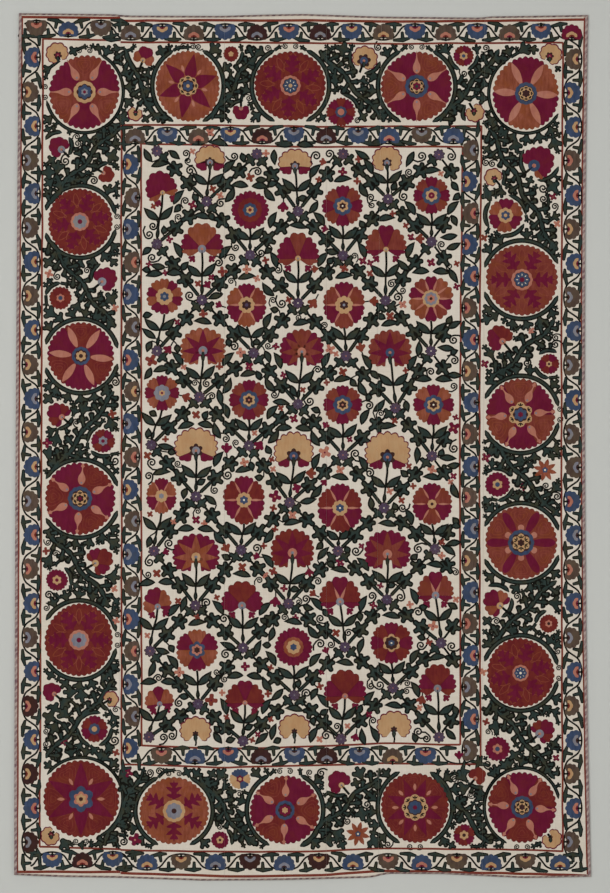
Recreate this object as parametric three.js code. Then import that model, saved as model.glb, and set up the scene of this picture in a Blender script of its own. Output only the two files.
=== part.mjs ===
// Embroidered cotton wall hanging, hung flat by its top edge.
// Millimetres, +Z up. The front faces -Y. The origin is the middle of the top edge.
import * as THREE from "three";

// Cloth
const CLOTH = 1.6; // cotton with its silk stitches, front to back
const GAP = 0.3; // clearance between pieces
const EASE = 0.45; // clearance at the folds and ends of the binding, where the cloth curves
const TAPE = 1.0; // thickness of the edge binding
const SIDE_LIP = 8; // how far the binding covers the cloth at the two sides
const END_LIP = 5; // the same at the top and bottom
const COLUMNS = 6; // mesh columns across one panel
const ROWS = 24; // mesh rows down one panel
const DROP = 2420; // nominal height, top edge to bottom edge

// The two outer edges and the five seams between the hand-loom widths, left to right.
// bow is the sideways curve at half height, towards +X.
const LINES = [
  { atTop: -797, atBottom: -810, bow: -2.5 },
  { atTop: -511, atBottom: -517, bow: 0 },
  { atTop: -221, atBottom: -221, bow: 0 },
  { atTop: 64, atBottom: 64, bow: 0 },
  { atTop: 219, atBottom: 211, bow: -9 },
  { atTop: 508, atBottom: 500, bow: 0 },
  { atTop: 797, atBottom: 805, bow: -13 },
];

// Height of the top and bottom edges, which step a little where panels were joined out of line.
const TOP_EDGE = [
  { x: -800, z: 2.2 },
  { x: -530, z: -0.8 },
  { x: -495, z: -4.6 },
  { x: -230, z: -5.6 },
  { x: -110, z: -2 },
  { x: 0, z: 0 },
  { x: 215, z: -7.5 },
  { x: 495, z: -10.5 },
  { x: 525, z: -7 },
  { x: 800, z: -3 },
];
const BOTTOM_EDGE = [
  { x: -810, z: -2410 },
  { x: -670, z: -2416 },
  { x: -511, z: -2419 },
  { x: -280, z: -2427 },
  { x: -110, z: -2425 },
  { x: 190, z: -2419 },
  { x: 232, z: -2408 },
  { x: 393, z: -2408 },
  { x: 617, z: -2419 },
  { x: 806, z: -2416 },
];

// Shallow upright waves: the top edge is held straight and the cloth moves more towards the bottom.
const WAVES = [
  { across: 640, lean: 0.05, phase: 0.4, depth: 3.2 },
  { across: 390, lean: -0.07, phase: 2.1, depth: 1.5 },
];

// Straight-line reading of an edge table at x.
function edgeHeight(edge, x) {
  let i = 1;
  while (i < edge.length - 1 && x > edge[i].x) i += 1;
  const a = edge[i - 1];
  const b = edge[i];
  return THREE.MathUtils.mapLinear(x, a.x, b.x, a.z, b.z);
}

// Sideways place of an upright line at the share v of the drop.
function lineAt(line, v) {
  return THREE.MathUtils.lerp(line.atTop, line.atBottom, v) + line.bow * 4 * v * (1 - v);
}

// How far the middle of the cloth stands from the plane y = 0.
function drape(x, z) {
  const fall = THREE.MathUtils.clamp(-z / DROP, 0, 1);
  let y = 0;
  for (const wave of WAVES) {
    const turn = (2 * Math.PI * (x + wave.lean * z)) / wave.across + wave.phase;
    y += wave.depth * fall * Math.sin(turn);
  }
  return y;
}

// Moves each vertex of a plain block to its place in the hanging.
function shaped(block, place) {
  const points = block.getAttribute("position");
  const p = new THREE.Vector3();
  for (let i = 0; i < points.count; i += 1) {
    p.fromBufferAttribute(points, i);
    place(p);
    points.setXYZ(i, p.x, p.y, p.z);
  }
  block.computeVertexNormals();
  return block;
}

// One loom width of cotton, from line number `first` to the next.
function panel(first) {
  const block = new THREE.BoxGeometry(1, CLOTH, 1, COLUMNS, 1, ROWS);
  const fold = TAPE + GAP;
  const leftInset = first === 0 ? fold : GAP / 2;
  const rightInset = first === LINES.length - 2 ? fold : GAP / 2;
  return shaped(block, (p) => {
    const v = 0.5 - p.z;
    const left = lineAt(LINES[first], v) + leftInset;
    const right = lineAt(LINES[first + 1], v) - rightInset;
    const x = THREE.MathUtils.lerp(left, right, p.x + 0.5);
    const top = edgeHeight(TOP_EDGE, x) - fold;
    const bottom = edgeHeight(BOTTOM_EDGE, x) + fold;
    const z = THREE.MathUtils.lerp(top, bottom, v);
    p.set(x, drape(x, z) + p.y, z);
  });
}

// Tape folded over an edge, as a straight run: x is depth through the cloth, y is the distance
// in from the edge, and z counts the steps along the edge.
function foldedTape(lip, steps) {
  const inner = CLOTH / 2 + EASE;
  const outer = inner + TAPE;
  const section = new THREE.Shape([
    new THREE.Vector2(-outer, 0),
    new THREE.Vector2(outer, 0),
    new THREE.Vector2(outer, lip),
    new THREE.Vector2(inner, lip),
    new THREE.Vector2(inner, TAPE),
    new THREE.Vector2(-inner, TAPE),
    new THREE.Vector2(-inner, lip),
    new THREE.Vector2(-outer, lip),
  ]);
  return new THREE.ExtrudeGeometry(section, { depth: steps, steps, bevelEnabled: false });
}

// Reverses each triangle, for a run that was turned over when it was placed.
function turnedOver(geometry) {
  const points = geometry.getAttribute("position");
  const a = new THREE.Vector3();
  const b = new THREE.Vector3();
  for (let i = 0; i < points.count; i += 3) {
    a.fromBufferAttribute(points, i);
    b.fromBufferAttribute(points, i + 1);
    points.setXYZ(i, b.x, b.y, b.z);
    points.setXYZ(i + 1, a.x, a.y, a.z);
  }
  geometry.computeVertexNormals();
  return geometry;
}

// Binding of one side, along line number `index`. inward is +1 at the left and -1 at the right.
function sideBinding(index, inward) {
  const run = shaped(foldedTape(SIDE_LIP, ROWS), (p) => {
    const v = p.z / ROWS;
    const x = lineAt(LINES[index], v) + inward * p.y;
    const z = THREE.MathUtils.lerp(edgeHeight(TOP_EDGE, x), edgeHeight(BOTTOM_EDGE, x), v);
    p.set(x, drape(x, z) + p.x, z);
  });
  return inward > 0 ? run : turnedOver(run);
}

// The x of every panel column along the top (v = 0) or bottom (v = 1), between the side bindings.
function columnsAlong(v) {
  const start = lineAt(LINES[0], v) + SIDE_LIP + EASE;
  const end = lineAt(LINES[LINES.length - 1], v) - SIDE_LIP - EASE;
  const stops = [start];
  for (let i = 0; i < LINES.length - 1; i += 1) {
    for (let k = 1; k <= COLUMNS; k += 1) {
      stops.push(THREE.MathUtils.lerp(lineAt(LINES[i], v), lineAt(LINES[i + 1], v), k / COLUMNS));
    }
  }
  stops[stops.length - 1] = end;
  return stops;
}

// Binding of the top or the bottom. inward is -1 at the top and +1 at the bottom.
function endBinding(edge, v, inward) {
  const stops = columnsAlong(v);
  const run = shaped(foldedTape(END_LIP, stops.length - 1), (p) => {
    const x = stops[Math.round(p.z)];
    const z = edgeHeight(edge, x) + inward * p.y;
    p.set(x, drape(x, z) + p.x, z);
  });
  return inward > 0 ? run : turnedOver(run);
}

const hanging = new THREE.Group();
hanging.name = "wall_hanging";

function add(name, geometry, colour) {
  const material = new THREE.MeshStandardMaterial({ color: colour, roughness: 0.9 });
  const mesh = new THREE.Mesh(geometry, material);
  mesh.name = name;
  hanging.add(mesh);
}

for (let i = 0; i < LINES.length - 1; i += 1) {
  add("panel_" + (i + 1), panel(i), 0xd6cebe);
}
add("binding_left", sideBinding(0, 1), 0x8a7078);
add("binding_right", sideBinding(LINES.length - 1, -1), 0x8a7078);
add("binding_top", endBinding(TOP_EDGE, 0, -1), 0x8a7078);
add("binding_bottom", endBinding(BOTTOM_EDGE, 1, 1), 0x8a7078);

export default hanging;
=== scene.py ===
import math
import random
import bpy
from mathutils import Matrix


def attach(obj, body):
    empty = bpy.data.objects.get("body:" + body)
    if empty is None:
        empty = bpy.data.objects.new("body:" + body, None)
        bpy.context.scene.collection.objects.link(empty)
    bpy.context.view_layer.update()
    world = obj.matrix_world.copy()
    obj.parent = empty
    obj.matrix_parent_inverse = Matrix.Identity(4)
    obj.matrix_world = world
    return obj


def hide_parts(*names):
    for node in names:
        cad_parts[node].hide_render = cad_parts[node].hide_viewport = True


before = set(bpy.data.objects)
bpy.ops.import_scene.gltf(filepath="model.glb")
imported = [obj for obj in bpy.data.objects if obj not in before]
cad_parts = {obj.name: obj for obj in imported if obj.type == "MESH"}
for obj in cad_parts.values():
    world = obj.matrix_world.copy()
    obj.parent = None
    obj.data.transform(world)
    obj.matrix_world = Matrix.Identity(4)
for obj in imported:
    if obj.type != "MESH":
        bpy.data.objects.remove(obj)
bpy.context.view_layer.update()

from types import SimpleNamespace

import bmesh
import bpy
import numpy
from mathutils import Vector


def table(columns, *rows):
    """Rows of values that are read by the names of their columns."""
    names = columns.split()
    return [SimpleNamespace(**dict(zip(names, row))) for row in rows]


# Cloth, in millimetres, with the shape that the part's solids have
CLOTH = 1.6
SHEET = 1.0  # the cotton alone, without its stitches
GAP = 0.3
EASE = 0.45
TAPE = 1.0
SIDE_LIP = 8
END_LIP = 5
DROP = 2420

LINES = table(
    "top bottom bow",
    (-797, -810, -2.5),
    (-511, -517, 0),
    (-221, -221, 0),
    (64, 64, 0),
    (219, 211, -9),
    (508, 500, 0),
    (797, 805, -13),
)
TOP_EDGE = table(
    "x z",
    (-800, 2.2), (-530, -0.8), (-495, -4.6), (-230, -5.6), (-110, -2),
    (0, 0), (215, -7.5), (495, -10.5), (525, -7), (800, -3),
)
BOTTOM_EDGE = table(
    "x z",
    (-810, -2410), (-670, -2416), (-511, -2419), (-280, -2427), (-110, -2425),
    (190, -2419), (232, -2408), (393, -2408), (617, -2419), (806, -2416),
)
WAVES = table(
    "across lean phase depth",
    (640, 0.05, 0.4, 3.2),
    (390, -0.07, 2.1, 1.5),
)

# Squared paper for the embroidery: one square is 2.8 mm on the cloth, rows count downwards
SQUARE = 2.8
MIDDLE_COLUMN = 303.5
TOP_ROW = 14
PAPER_WIDTH = 600
COLUMN_CUT = 14  # wide patches are cut at every 14 squares, so that they follow the waves
SEAM_SLIT = 0.05  # half the slit in the stitches at a seam, in squares
CUT_MERGE = 0.0001  # points as near as this to a cut lie on it

# How far each layer of stitches stands off the cotton, in millimetres
LINE_LIFT = 0.3
STEM_LIFT = 0.35
LEAF_LIFT = 0.45
DOT_LIFT = 0.8
GROUND_LIFT = 0.55
PETAL_LIFT = 0.75
FIGURE_LIFT = 0.95
RING_LIFT = 1.1
RING_STEP = 0.1

# Widths, in squares
RIM = 1.6  # black stitch line round a lattice leaf
SMALL_RIM = 1.4  # the same round a smaller leaf
EDGE = 1.3  # the same round a long leaf
STEM_SIDE = 1.1  # black side of a stem
SLOPE = 0.2  # width of the sloping side of a patch

# Scales of the slanting wave patterns, which repeat every 0.444 m on the cloth at a scale of 1
FLOSS_WAVES = 0.314 / 0.0024  # rows of stitches 3.4 mm apart
TAPE_WAVES = 0.314 / 0.009  # a dark and a light stripe in 12.7 mm

# Dyed silks: colour, lighter dye lot, faded dye lot, share of the lighter lot that shows as streaks
SILKS = table(
    "name letter colour light faded streak",
    ("crimson", "c", "#5A0F29", "#6C1C37", "#611A26", 0.4),
    ("brick", "b", "#5D1D1E", "#702B24", "#6A2B1F", 0.5),
    ("rust", "r", "#703826", "#8E503D", "#7D4124", 0.7),
    ("salmon", "s", "#9A5F50", "#AC7766", "#A86E58", 0.5),
    ("gold", "g", "#A57F5A", "#B6936C", "#A98A66", 0.5),
    ("blue", "u", "#2F3B52", "#414F6C", "#3B4353", 0.5),
    ("slate", "l", "#6B6A74", "#85838C", "#7A7572", 0.5),
    ("brown", "n", "#46372F", "#5F4F45", "#524536", 0.5),
    ("plum", "p", "#301B1A", "#432A29", "#3A241C", 0.4),
    ("violet", "v", "#443649", "#58495E", "#51414B", 0.4),
    ("green", "e", "#232E2A", "#303D3A", "#3A3727", 0.6),
    ("black", "k", "#0C0C09", "#15140F", "#16140C", 0.4),
    ("cream", "w", "#CFC5B3", "#DBD2C2", "#C9BCA4", 0.3),
    ("copper", "o", "#773B2B", "#874B3A", "#7D4124", 0.4),
    ("madder", "m", "#682A24", "#7D3F33", "#6E3420", 0.6),
)
SILK_NUMBER = {silk.name: number for number, silk in enumerate(SILKS)}
SILK_LETTER = {silk.letter: silk.name for silk in SILKS}

rng = random.Random(11)


def lerp(a, b, share):
    return a + (b - a) * share


def reading(points, at):
    """Straight-line reading of a table of pairs."""
    for (x0, y0), (x1, y1) in zip(points, points[1:]):
        if at <= x1:
            break
    return lerp(y0, y1, (at - x0) / (x1 - x0))


def edge_height(edge, x):
    return reading([(row.x, row.z) for row in edge], x)


def line_at(line, share):
    """Sideways place of an edge or seam at a share of the drop."""
    return lerp(line.top, line.bottom, share) + line.bow * 4 * share * (1 - share)


def drape(x, z):
    """How far the middle of the cloth stands from the plane y = 0."""
    fall = min(max(-z / DROP, 0), 1)
    y = 0
    for wave in WAVES:
        y += wave.depth * fall * math.sin(2 * math.pi * (x + wave.lean * z) / wave.across + wave.phase)
    return y


def cloth_point(x, z, out):
    """Place, in metres, of a point that is `out` in front of the middle of the cloth."""
    return Vector((x, drape(x, z) - out, z)) / 1000


def linear(colour):
    """An sRGB hex colour as linear RGBA."""
    channels = [int(colour[i:i + 2], 16) / 255 for i in (1, 3, 5)]
    return [c / 12.92 if c <= 0.04045 else ((c + 0.055) / 1.055) ** 2.4 for c in channels] + [1]


def add_node(tree, kind, settings, sockets):
    """Adds one node with its settings, and gives its sockets their values or links."""
    node = tree.nodes.new(kind)
    for name, value in settings.items():
        setattr(node, name, value)
    for name, value in sockets.items():
        if isinstance(value, bpy.types.NodeSocket):
            tree.links.new(value, node.inputs[name])
        else:
            node.inputs[name].default_value = value
    return node


def new_material(name):
    """An empty material with its node tree and shader."""
    material = bpy.data.materials.new(name)
    material.use_nodes = True
    tree = material.node_tree
    return material, tree, tree.nodes["Principled BSDF"]


def silk_material(silk):
    """Floss silk laid in close rows and tied down: a soft sheen, fine rows, and uneven dye lots.

    The rows of real floss are about 0.8 mm apart and are drawn at 3.4 mm, so that they show.
    """
    material, tree, shader = new_material("floss_silk_" + silk.name)
    place = add_node(tree, "ShaderNodeTexCoord", {}, {}).outputs["Object"]
    along = add_node(
        tree, "ShaderNodeMapping", {},
        {"Vector": place, "Scale": (1 / 0.006, 1 / 0.006, 1 / 0.03)},
    ).outputs["Vector"]
    streaks = add_node(
        tree, "ShaderNodeTexNoise", {}, {"Vector": along, "Scale": 1.0, "Detail": 3.0, "Roughness": 0.6},
    ).outputs["Fac"]
    lots = add_node(
        tree, "ShaderNodeTexNoise", {}, {"Vector": place, "Scale": 1 / 0.045, "Detail": 2.0},
    ).outputs["Fac"]
    both = add_node(
        tree, "ShaderNodeMath", {"operation": "MULTIPLY"}, {0: streaks, 1: lots},
    ).outputs[0]
    share = add_node(
        tree, "ShaderNodeMapRange", {},
        {"Value": both, "From Min": 0.16, "From Max": 0.36, "To Min": 0.0, "To Max": silk.streak * 1.25},
    ).outputs[0]
    dyed = add_node(
        tree, "ShaderNodeMix", {"data_type": "RGBA"},
        {0: share, 6: linear(silk.colour), 7: linear(silk.light)},
    ).outputs[2]
    fading = add_node(
        tree, "ShaderNodeTexNoise", {}, {"Vector": place, "Scale": 1 / 0.03, "Detail": 3.0, "Roughness": 0.6},
    ).outputs["Fac"]
    faded = add_node(
        tree, "ShaderNodeMapRange", {},
        {"Value": fading, "From Min": 0.46, "From Max": 0.64, "To Min": 0.0, "To Max": 0.75},
    ).outputs[0]
    colour = add_node(
        tree, "ShaderNodeMix", {"data_type": "RGBA"}, {0: faded, 6: dyed, 7: linear(silk.faded)},
    ).outputs[2]
    rows = add_node(
        tree, "ShaderNodeTexWave", {"bands_direction": "DIAGONAL"},
        {"Vector": place, "Scale": FLOSS_WAVES, "Distortion": 1.5, "Detail": 1.0},
    ).outputs["Fac"]
    relief = add_node(
        tree, "ShaderNodeMix", {"data_type": "FLOAT"}, {0: 0.5, 2: rows, 3: streaks},
    ).outputs[0]
    bump = add_node(
        tree, "ShaderNodeBump", {}, {"Height": relief, "Strength": 0.5, "Distance": 0.0006},
    ).outputs["Normal"]
    tree.links.new(colour, shader.inputs["Base Color"])
    tree.links.new(bump, shader.inputs["Normal"])
    shader.inputs["Roughness"].default_value = 0.62
    shader.inputs["IOR"].default_value = 1.5
    shader.inputs["Specular IOR Level"].default_value = 0.04
    shader.inputs["Sheen Weight"].default_value = 0.01
    shader.inputs["Sheen Roughness"].default_value = 0.4
    return material


def cotton_material():
    """Hand-woven undyed cotton: matte cream, uneven threads, faint stains, and painted shade in a darker line
    at each selvedge, where the widths meet.

    Its threads are about 0.7 mm apart and are drawn at 2 mm, so that they show.
    """
    material, tree, shader = new_material("hand_woven_cotton")
    place = add_node(tree, "ShaderNodeTexCoord", {}, {}).outputs["Object"]
    weave = add_node(tree, "ShaderNodeUVMap", {"uv_map": "weave"}, {}).outputs["UV"]
    threads = []
    for size in ((1 / 0.002, 1 / 0.02, 1 / 0.05), (1 / 0.05, 1 / 0.02, 1 / 0.002)):
        along = add_node(
            tree, "ShaderNodeMapping", {}, {"Vector": place, "Scale": size},
        ).outputs["Vector"]
        threads.append(add_node(
            tree, "ShaderNodeTexNoise", {}, {"Vector": along, "Scale": 1.0, "Detail": 1.0},
        ).outputs["Fac"])
    cloth = add_node(
        tree, "ShaderNodeMath", {"operation": "ADD"}, {0: threads[0], 1: threads[1]},
    ).outputs[0]
    stains = add_node(
        tree, "ShaderNodeTexNoise", {},
        {"Vector": place, "Scale": 1 / 0.16, "Detail": 4.0, "Roughness": 0.65},
    ).outputs["Fac"]
    stained = add_node(
        tree, "ShaderNodeMapRange", {},
        {"Value": stains, "From Min": 0.45, "From Max": 0.75, "To Min": 0.0, "To Max": 0.45},
    ).outputs[0]
    aged = add_node(
        tree, "ShaderNodeMix", {"data_type": "RGBA"},
        {0: stained, 6: linear("#D0C7BA"), 7: linear("#BFAE98")},
    ).outputs[2]
    uneven = add_node(
        tree, "ShaderNodeMapRange", {},
        {"Value": cloth, "From Min": 0.7, "From Max": 1.3, "To Min": 0.25, "To Max": 0.0},
    ).outputs[0]
    threaded = add_node(
        tree, "ShaderNodeMix", {"data_type": "RGBA"}, {0: uneven, 6: aged, 7: linear("#A89B8A")},
    ).outputs[2]
    across = add_node(tree, "ShaderNodeSeparateXYZ", {}, {"Vector": weave}).outputs["X"]
    centred = add_node(
        tree, "ShaderNodeMath", {"operation": "SUBTRACT"}, {0: across, 1: 0.5},
    ).outputs[0]
    reach = add_node(tree, "ShaderNodeMath", {"operation": "ABSOLUTE"}, {0: centred}).outputs[0]
    # Painted shade: the colour darkens towards each selvedge, as in the groove where two widths are sewn
    # together
    painted_seam_shade = add_node(
        tree, "ShaderNodeMapRange", {},
        {"Value": reach, "From Min": 0.494, "From Max": 0.5, "To Min": 0.0, "To Max": 0.2},
    ).outputs[0]
    colour = add_node(
        tree, "ShaderNodeMix", {"data_type": "RGBA"}, {0: painted_seam_shade, 6: threaded, 7: linear("#8F8071")},
    ).outputs[2]
    bump = add_node(
        tree, "ShaderNodeBump", {}, {"Height": cloth, "Strength": 0.45, "Distance": 0.0008},
    ).outputs["Normal"]
    tree.links.new(colour, shader.inputs["Base Color"])
    tree.links.new(bump, shader.inputs["Normal"])
    shader.inputs["Roughness"].default_value = 0.9
    shader.inputs["Specular IOR Level"].default_value = 0.2
    shader.inputs["Sheen Weight"].default_value = 0.1
    return material


def tape_material(name, dyed_colour, worn_colour, stripe_colour, stripe_share):
    """Narrow woven tape in slanting purple-brown and cream stripes: matte, rubbed, with worn paler flecks.

    The stripes of the real tape are about 3 mm wide and are drawn at 6 mm, so that they show.
    """
    material, tree, shader = new_material(name)
    weave = add_node(tree, "ShaderNodeUVMap", {"uv_map": "weave"}, {}).outputs["UV"]
    place = add_node(tree, "ShaderNodeTexCoord", {}, {}).outputs["Object"]
    stripes = add_node(
        tree, "ShaderNodeTexWave", {"bands_direction": "DIAGONAL"},
        {"Vector": weave, "Scale": TAPE_WAVES, "Distortion": 2.5, "Detail": 2.0, "Detail Scale": 2.0},
    ).outputs["Fac"]
    share = add_node(
        tree, "ShaderNodeMapRange", {},
        {"Value": stripes, "From Min": 0.45, "From Max": 0.8, "To Min": 0.0, "To Max": stripe_share},
    ).outputs[0]
    worn = add_node(
        tree, "ShaderNodeTexNoise", {}, {"Vector": place, "Scale": 1 / 0.012, "Detail": 4.0},
    ).outputs["Fac"]
    flecks = add_node(
        tree, "ShaderNodeMapRange", {}, {"Value": worn, "From Min": 0.35, "From Max": 0.65},
    ).outputs[0]
    dyed = add_node(
        tree, "ShaderNodeMix", {"data_type": "RGBA"},
        {0: flecks, 6: linear(dyed_colour), 7: linear(worn_colour)},
    ).outputs[2]
    colour = add_node(
        tree, "ShaderNodeMix", {"data_type": "RGBA"}, {0: share, 6: dyed, 7: linear(stripe_colour)},
    ).outputs[2]
    bump = add_node(
        tree, "ShaderNodeBump", {}, {"Height": stripes, "Strength": 0.5, "Distance": 0.0006},
    ).outputs["Normal"]
    tree.links.new(colour, shader.inputs["Base Color"])
    tree.links.new(bump, shader.inputs["Normal"])
    shader.inputs["Roughness"].default_value = 0.85
    shader.inputs["Specular IOR Level"].default_value = 0.2
    return material


def plain_material(name, colour):
    """Matte studio paper: even and pale, with a very faint mottle."""
    material, tree, shader = new_material(name)
    place = add_node(tree, "ShaderNodeTexCoord", {}, {}).outputs["Object"]
    mottle = add_node(
        tree, "ShaderNodeTexNoise", {}, {"Vector": place, "Scale": 1 / 0.3, "Detail": 3.0},
    ).outputs["Fac"]
    bump = add_node(
        tree, "ShaderNodeBump", {}, {"Height": mottle, "Strength": 0.05, "Distance": 0.002},
    ).outputs["Normal"]
    tree.links.new(bump, shader.inputs["Normal"])
    shader.inputs["Base Color"].default_value = linear(colour)
    shader.inputs["Roughness"].default_value = 0.95
    shader.inputs["Specular IOR Level"].default_value = 0.1
    return material, tree, shader


def new_piece(name, bm, material):
    """A finished mesh as a piece of the hanging."""
    mesh = bpy.data.meshes.new(name)
    bm.to_mesh(mesh)
    bm.free()
    mesh.materials.append(material)
    piece = bpy.data.objects.new(name, mesh)
    bpy.context.collection.objects.link(piece)
    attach(piece, "root")
    return piece


def cloth_piece(name, columns, rows, place, material, size, thickness):
    """Cloth from a grid whose points are placed by their share across and down.

    size is what the map of its weave measures, across and down.
    """
    bm = bmesh.new()
    bmesh.ops.create_grid(bm, x_segments=columns, y_segments=rows, size=0.5, calc_uvs=False)
    weave = bm.loops.layers.uv.new("weave")
    for face in bm.faces:
        face.smooth = True
        for loop in face.loops:
            loop[weave].uv = ((loop.vert.co.x + 0.5) * size[0], (0.5 - loop.vert.co.y) * size[1])
    for vert in bm.verts:
        vert.co = place(vert.co.x + 0.5, 0.5 - vert.co.y)
    piece = new_piece(name, bm, material)
    body = piece.modifiers.new("thickness", "SOLIDIFY")
    body.thickness = thickness / 1000
    body.offset = 0
    shading = piece.modifiers.new("even_shading", "WEIGHTED_NORMAL")
    shading.keep_sharp = True
    return piece


def panel_place(number):
    """Placing function of one loom width of cotton."""
    fold = TAPE + GAP
    left_inset = fold if number == 0 else GAP / 2
    right_inset = fold if number == len(LINES) - 2 else GAP / 2

    def place(across, down):
        left = line_at(LINES[number], down) + left_inset
        right = line_at(LINES[number + 1], down) - right_inset
        x = lerp(left, right, across)
        z = lerp(edge_height(TOP_EDGE, x) - fold, edge_height(BOTTOM_EDGE, x) + fold, down)
        return cloth_point(x, z, 0)

    return place


def tape_section(lip, share):
    """Depth in front of the cloth and distance in from the edge, at a share of the way round the fold."""
    bend = CLOTH / 2 + EASE + TAPE / 2
    centre = bend + TAPE / 2
    straight = lip - centre
    way = share * (2 * straight + math.pi * bend)
    if way < straight:
        return bend, lip - way
    if way > straight + math.pi * bend:
        return -bend, centre + way - straight - math.pi * bend
    turn = (way - straight) / bend
    return bend * math.cos(turn), centre - bend * math.sin(turn)


def side_tape_place(line, inward):
    """Placing function of the tape along one side; inward is 1 at the left and -1 at the right."""
    def place(across, down):
        out, inset = tape_section(SIDE_LIP, across if inward < 0 else 1 - across)
        x = line_at(line, down) + inward * inset
        z = lerp(edge_height(TOP_EDGE, x), edge_height(BOTTOM_EDGE, x), down)
        return cloth_point(x, z, out)

    return place


def end_tape_place(edge, share, inward):
    """Placing function of the tape along the top or bottom; inward is -1 at the top and 1 at the bottom."""
    start = line_at(LINES[0], share) + SIDE_LIP + EASE
    end = line_at(LINES[-1], share) - SIDE_LIP - EASE

    def place(across, down):
        out, inset = tape_section(END_LIP, down if inward > 0 else 1 - down)
        x = lerp(start, end, across)
        return cloth_point(x, edge_height(edge, x) + inward * inset, out)

    return place


# Shapes on the squared paper. Angles are in degrees, clockwise from up, and unit shapes point up
BLADE = ((0, 0.1), (0.15, 0.6), (0.42, 1), (0.7, 0.72), (0.9, 0.28), (1, 0.03))
LANCE = ((0, 0.25), (0.12, 0.65), (0.35, 1), (0.6, 0.75), (0.85, 0.3), (1, 0.05))
TEARDROP = ((0, 0.35), (0.1, 0.8), (0.24, 1), (0.4, 0.85), (0.55, 0.42), (0.75, 0.17), (1, 0.12))
TIPPED = ((0, 0.3), (0.1, 0.75), (0.25, 1), (0.42, 0.8), (0.56, 0.32), (0.7, 0.16), (0.8, 0.16),
          (0.86, 0.62), (0.93, 0.25), (1, 0.42))
RAY = ((0, 0.75), (0.2, 1), (0.5, 0.75), (0.8, 0.35), (1, 0.05))
BROAD = ((0, 0.3), (0.2, 0.75), (0.48, 1), (0.72, 0.8), (0.9, 0.35), (1, 0.05))
SHOOT = ((0, 0.72), (0.35, 0.7), (0.55, 0.8), (0.72, 1), (0.86, 0.95), (0.95, 0.7), (1, 0.3))
PETAL = ((0, 0.45), (0.2, 0.75), (0.5, 1), (0.78, 0.95), (0.93, 0.6), (1, 0.2))
BEAD = ((0, 0.2), (0.2, 0.7), (0.5, 1), (0.8, 0.7), (1, 0.15))

# Lobes of leaves, in the order of their angles: angle, reach and half the angle of the blunt end
IVY = ((-140, 0.84, 18), (-70, 0.98, 17), (0, 1.08, 17), (70, 0.98, 17), (140, 0.84, 18))
CROSS = ((-90, 0.96, 22), (0, 1, 22), (90, 0.96, 22), (180, 0.85, 24))
CLUB = ((-66, 1, 20), (0, 1, 20), (66, 1, 20), (180, 0.75, 26))
HOOK = ((-56, 0.86, 20), (12, 1, 20), (82, 1, 20), (180, 0.75, 26))
CORNER = ((-88, 1.15, 9), (0, 0.95, 11), (84, 0.85, 11))

# Reach of a guard flower from its base, by angle, in squares
GUARD_REACH = ((0, 12.9), (30, 12.6), (60, 11.7), (80, 10.9), (98, 10.4), (110, 8.8), (122, 5.4))


def polar(radius, angle):
    """The point at that distance and angle."""
    turn = math.radians(angle)
    return radius * math.sin(turn), -radius * math.cos(turn)


def heading(x0, y0, x1, y1):
    """Angle of the way from one point to another."""
    return math.degrees(math.atan2(x1 - x0, y0 - y1))


def placed(points, x, y, wide=1.0, high=1.0, turn=0.0):
    """Points sized along the shape's own axes, turned, and moved to a place."""
    sine = math.sin(math.radians(turn))
    cosine = math.cos(math.radians(turn))
    return [
        (x + wide * px * cosine - high * py * sine, y + wide * px * sine + high * py * cosine)
        for px, py in points
    ]


def rounded(points, closed=True, passes=1):
    """Cuts the corners of an outline or a path."""
    for _ in range(passes):
        pairs = list(zip(points, points[1:] + points[:1] if closed else points[1:]))
        cut = []
        for (x0, y0), (x1, y1) in pairs:
            cut.append((lerp(x0, x1, 0.25), lerp(y0, y1, 0.25)))
            cut.append((lerp(x0, x1, 0.75), lerp(y0, y1, 0.75)))
        points = cut if closed else [points[0]] + cut + [points[-1]]
    return points


def lobed(lobes, waist):
    """Outline of a leaf with blunt lobes round its middle, and a hollow between each two of them."""
    outline = []
    for k, (angle, reach, spread) in enumerate(lobes):
        following = lobes[(k + 1) % len(lobes)][0]
        if following <= angle:
            following += 360
        outline.append(polar(reach * 0.95, angle - spread))
        outline.append(polar(reach * 1.02, angle))
        outline.append(polar(reach * 0.95, angle + spread))
        outline.append(polar(waist, (angle + following) / 2))
    return outline


def blossom(petals, depth, steps=5):
    """Outline of a round flower with rounded petals."""
    count = petals * steps
    outline = []
    for k in range(count):
        bump = abs(math.cos(math.pi * k / steps))
        outline.append(polar(1 - depth * (1 - bump), 360 * k / count))
    return outline


def uneven(points, x, y):
    """An outline round a middle that is a little uneven, as it was drawn by hand."""
    moved = []
    for point_x, point_y in points:
        angle = math.atan2(point_y - y, point_x - x)
        share = 1 + 0.015 * math.sin(2 * angle + x) + 0.012 * math.sin(3 * angle + y)
        moved.append((x + (point_x - x) * share, y + (point_y - y) * share))
    return moved


def even_reach(angle):
    return 1


def guard_reach(angle):
    return reading(GUARD_REACH, abs(angle))


def fan_reach(drop, flat, power):
    """Reach of a rim from a base that lies `drop` below its middle.

    The upper half is round. The lower half is squarer for a higher `power`, and is cut at `flat`.
    """
    def reach(angle):
        dx, dy = polar(1, angle)
        low = 0
        high = 2
        for _ in range(14):
            middle = (low + high) / 2
            y = dy * middle + drop
            bend = power if y > 0 else 2
            if y < flat and abs(dx * middle) ** bend + abs(y) ** bend < 1:
                low = middle
            else:
                high = middle
        return low

    return reach


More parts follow.
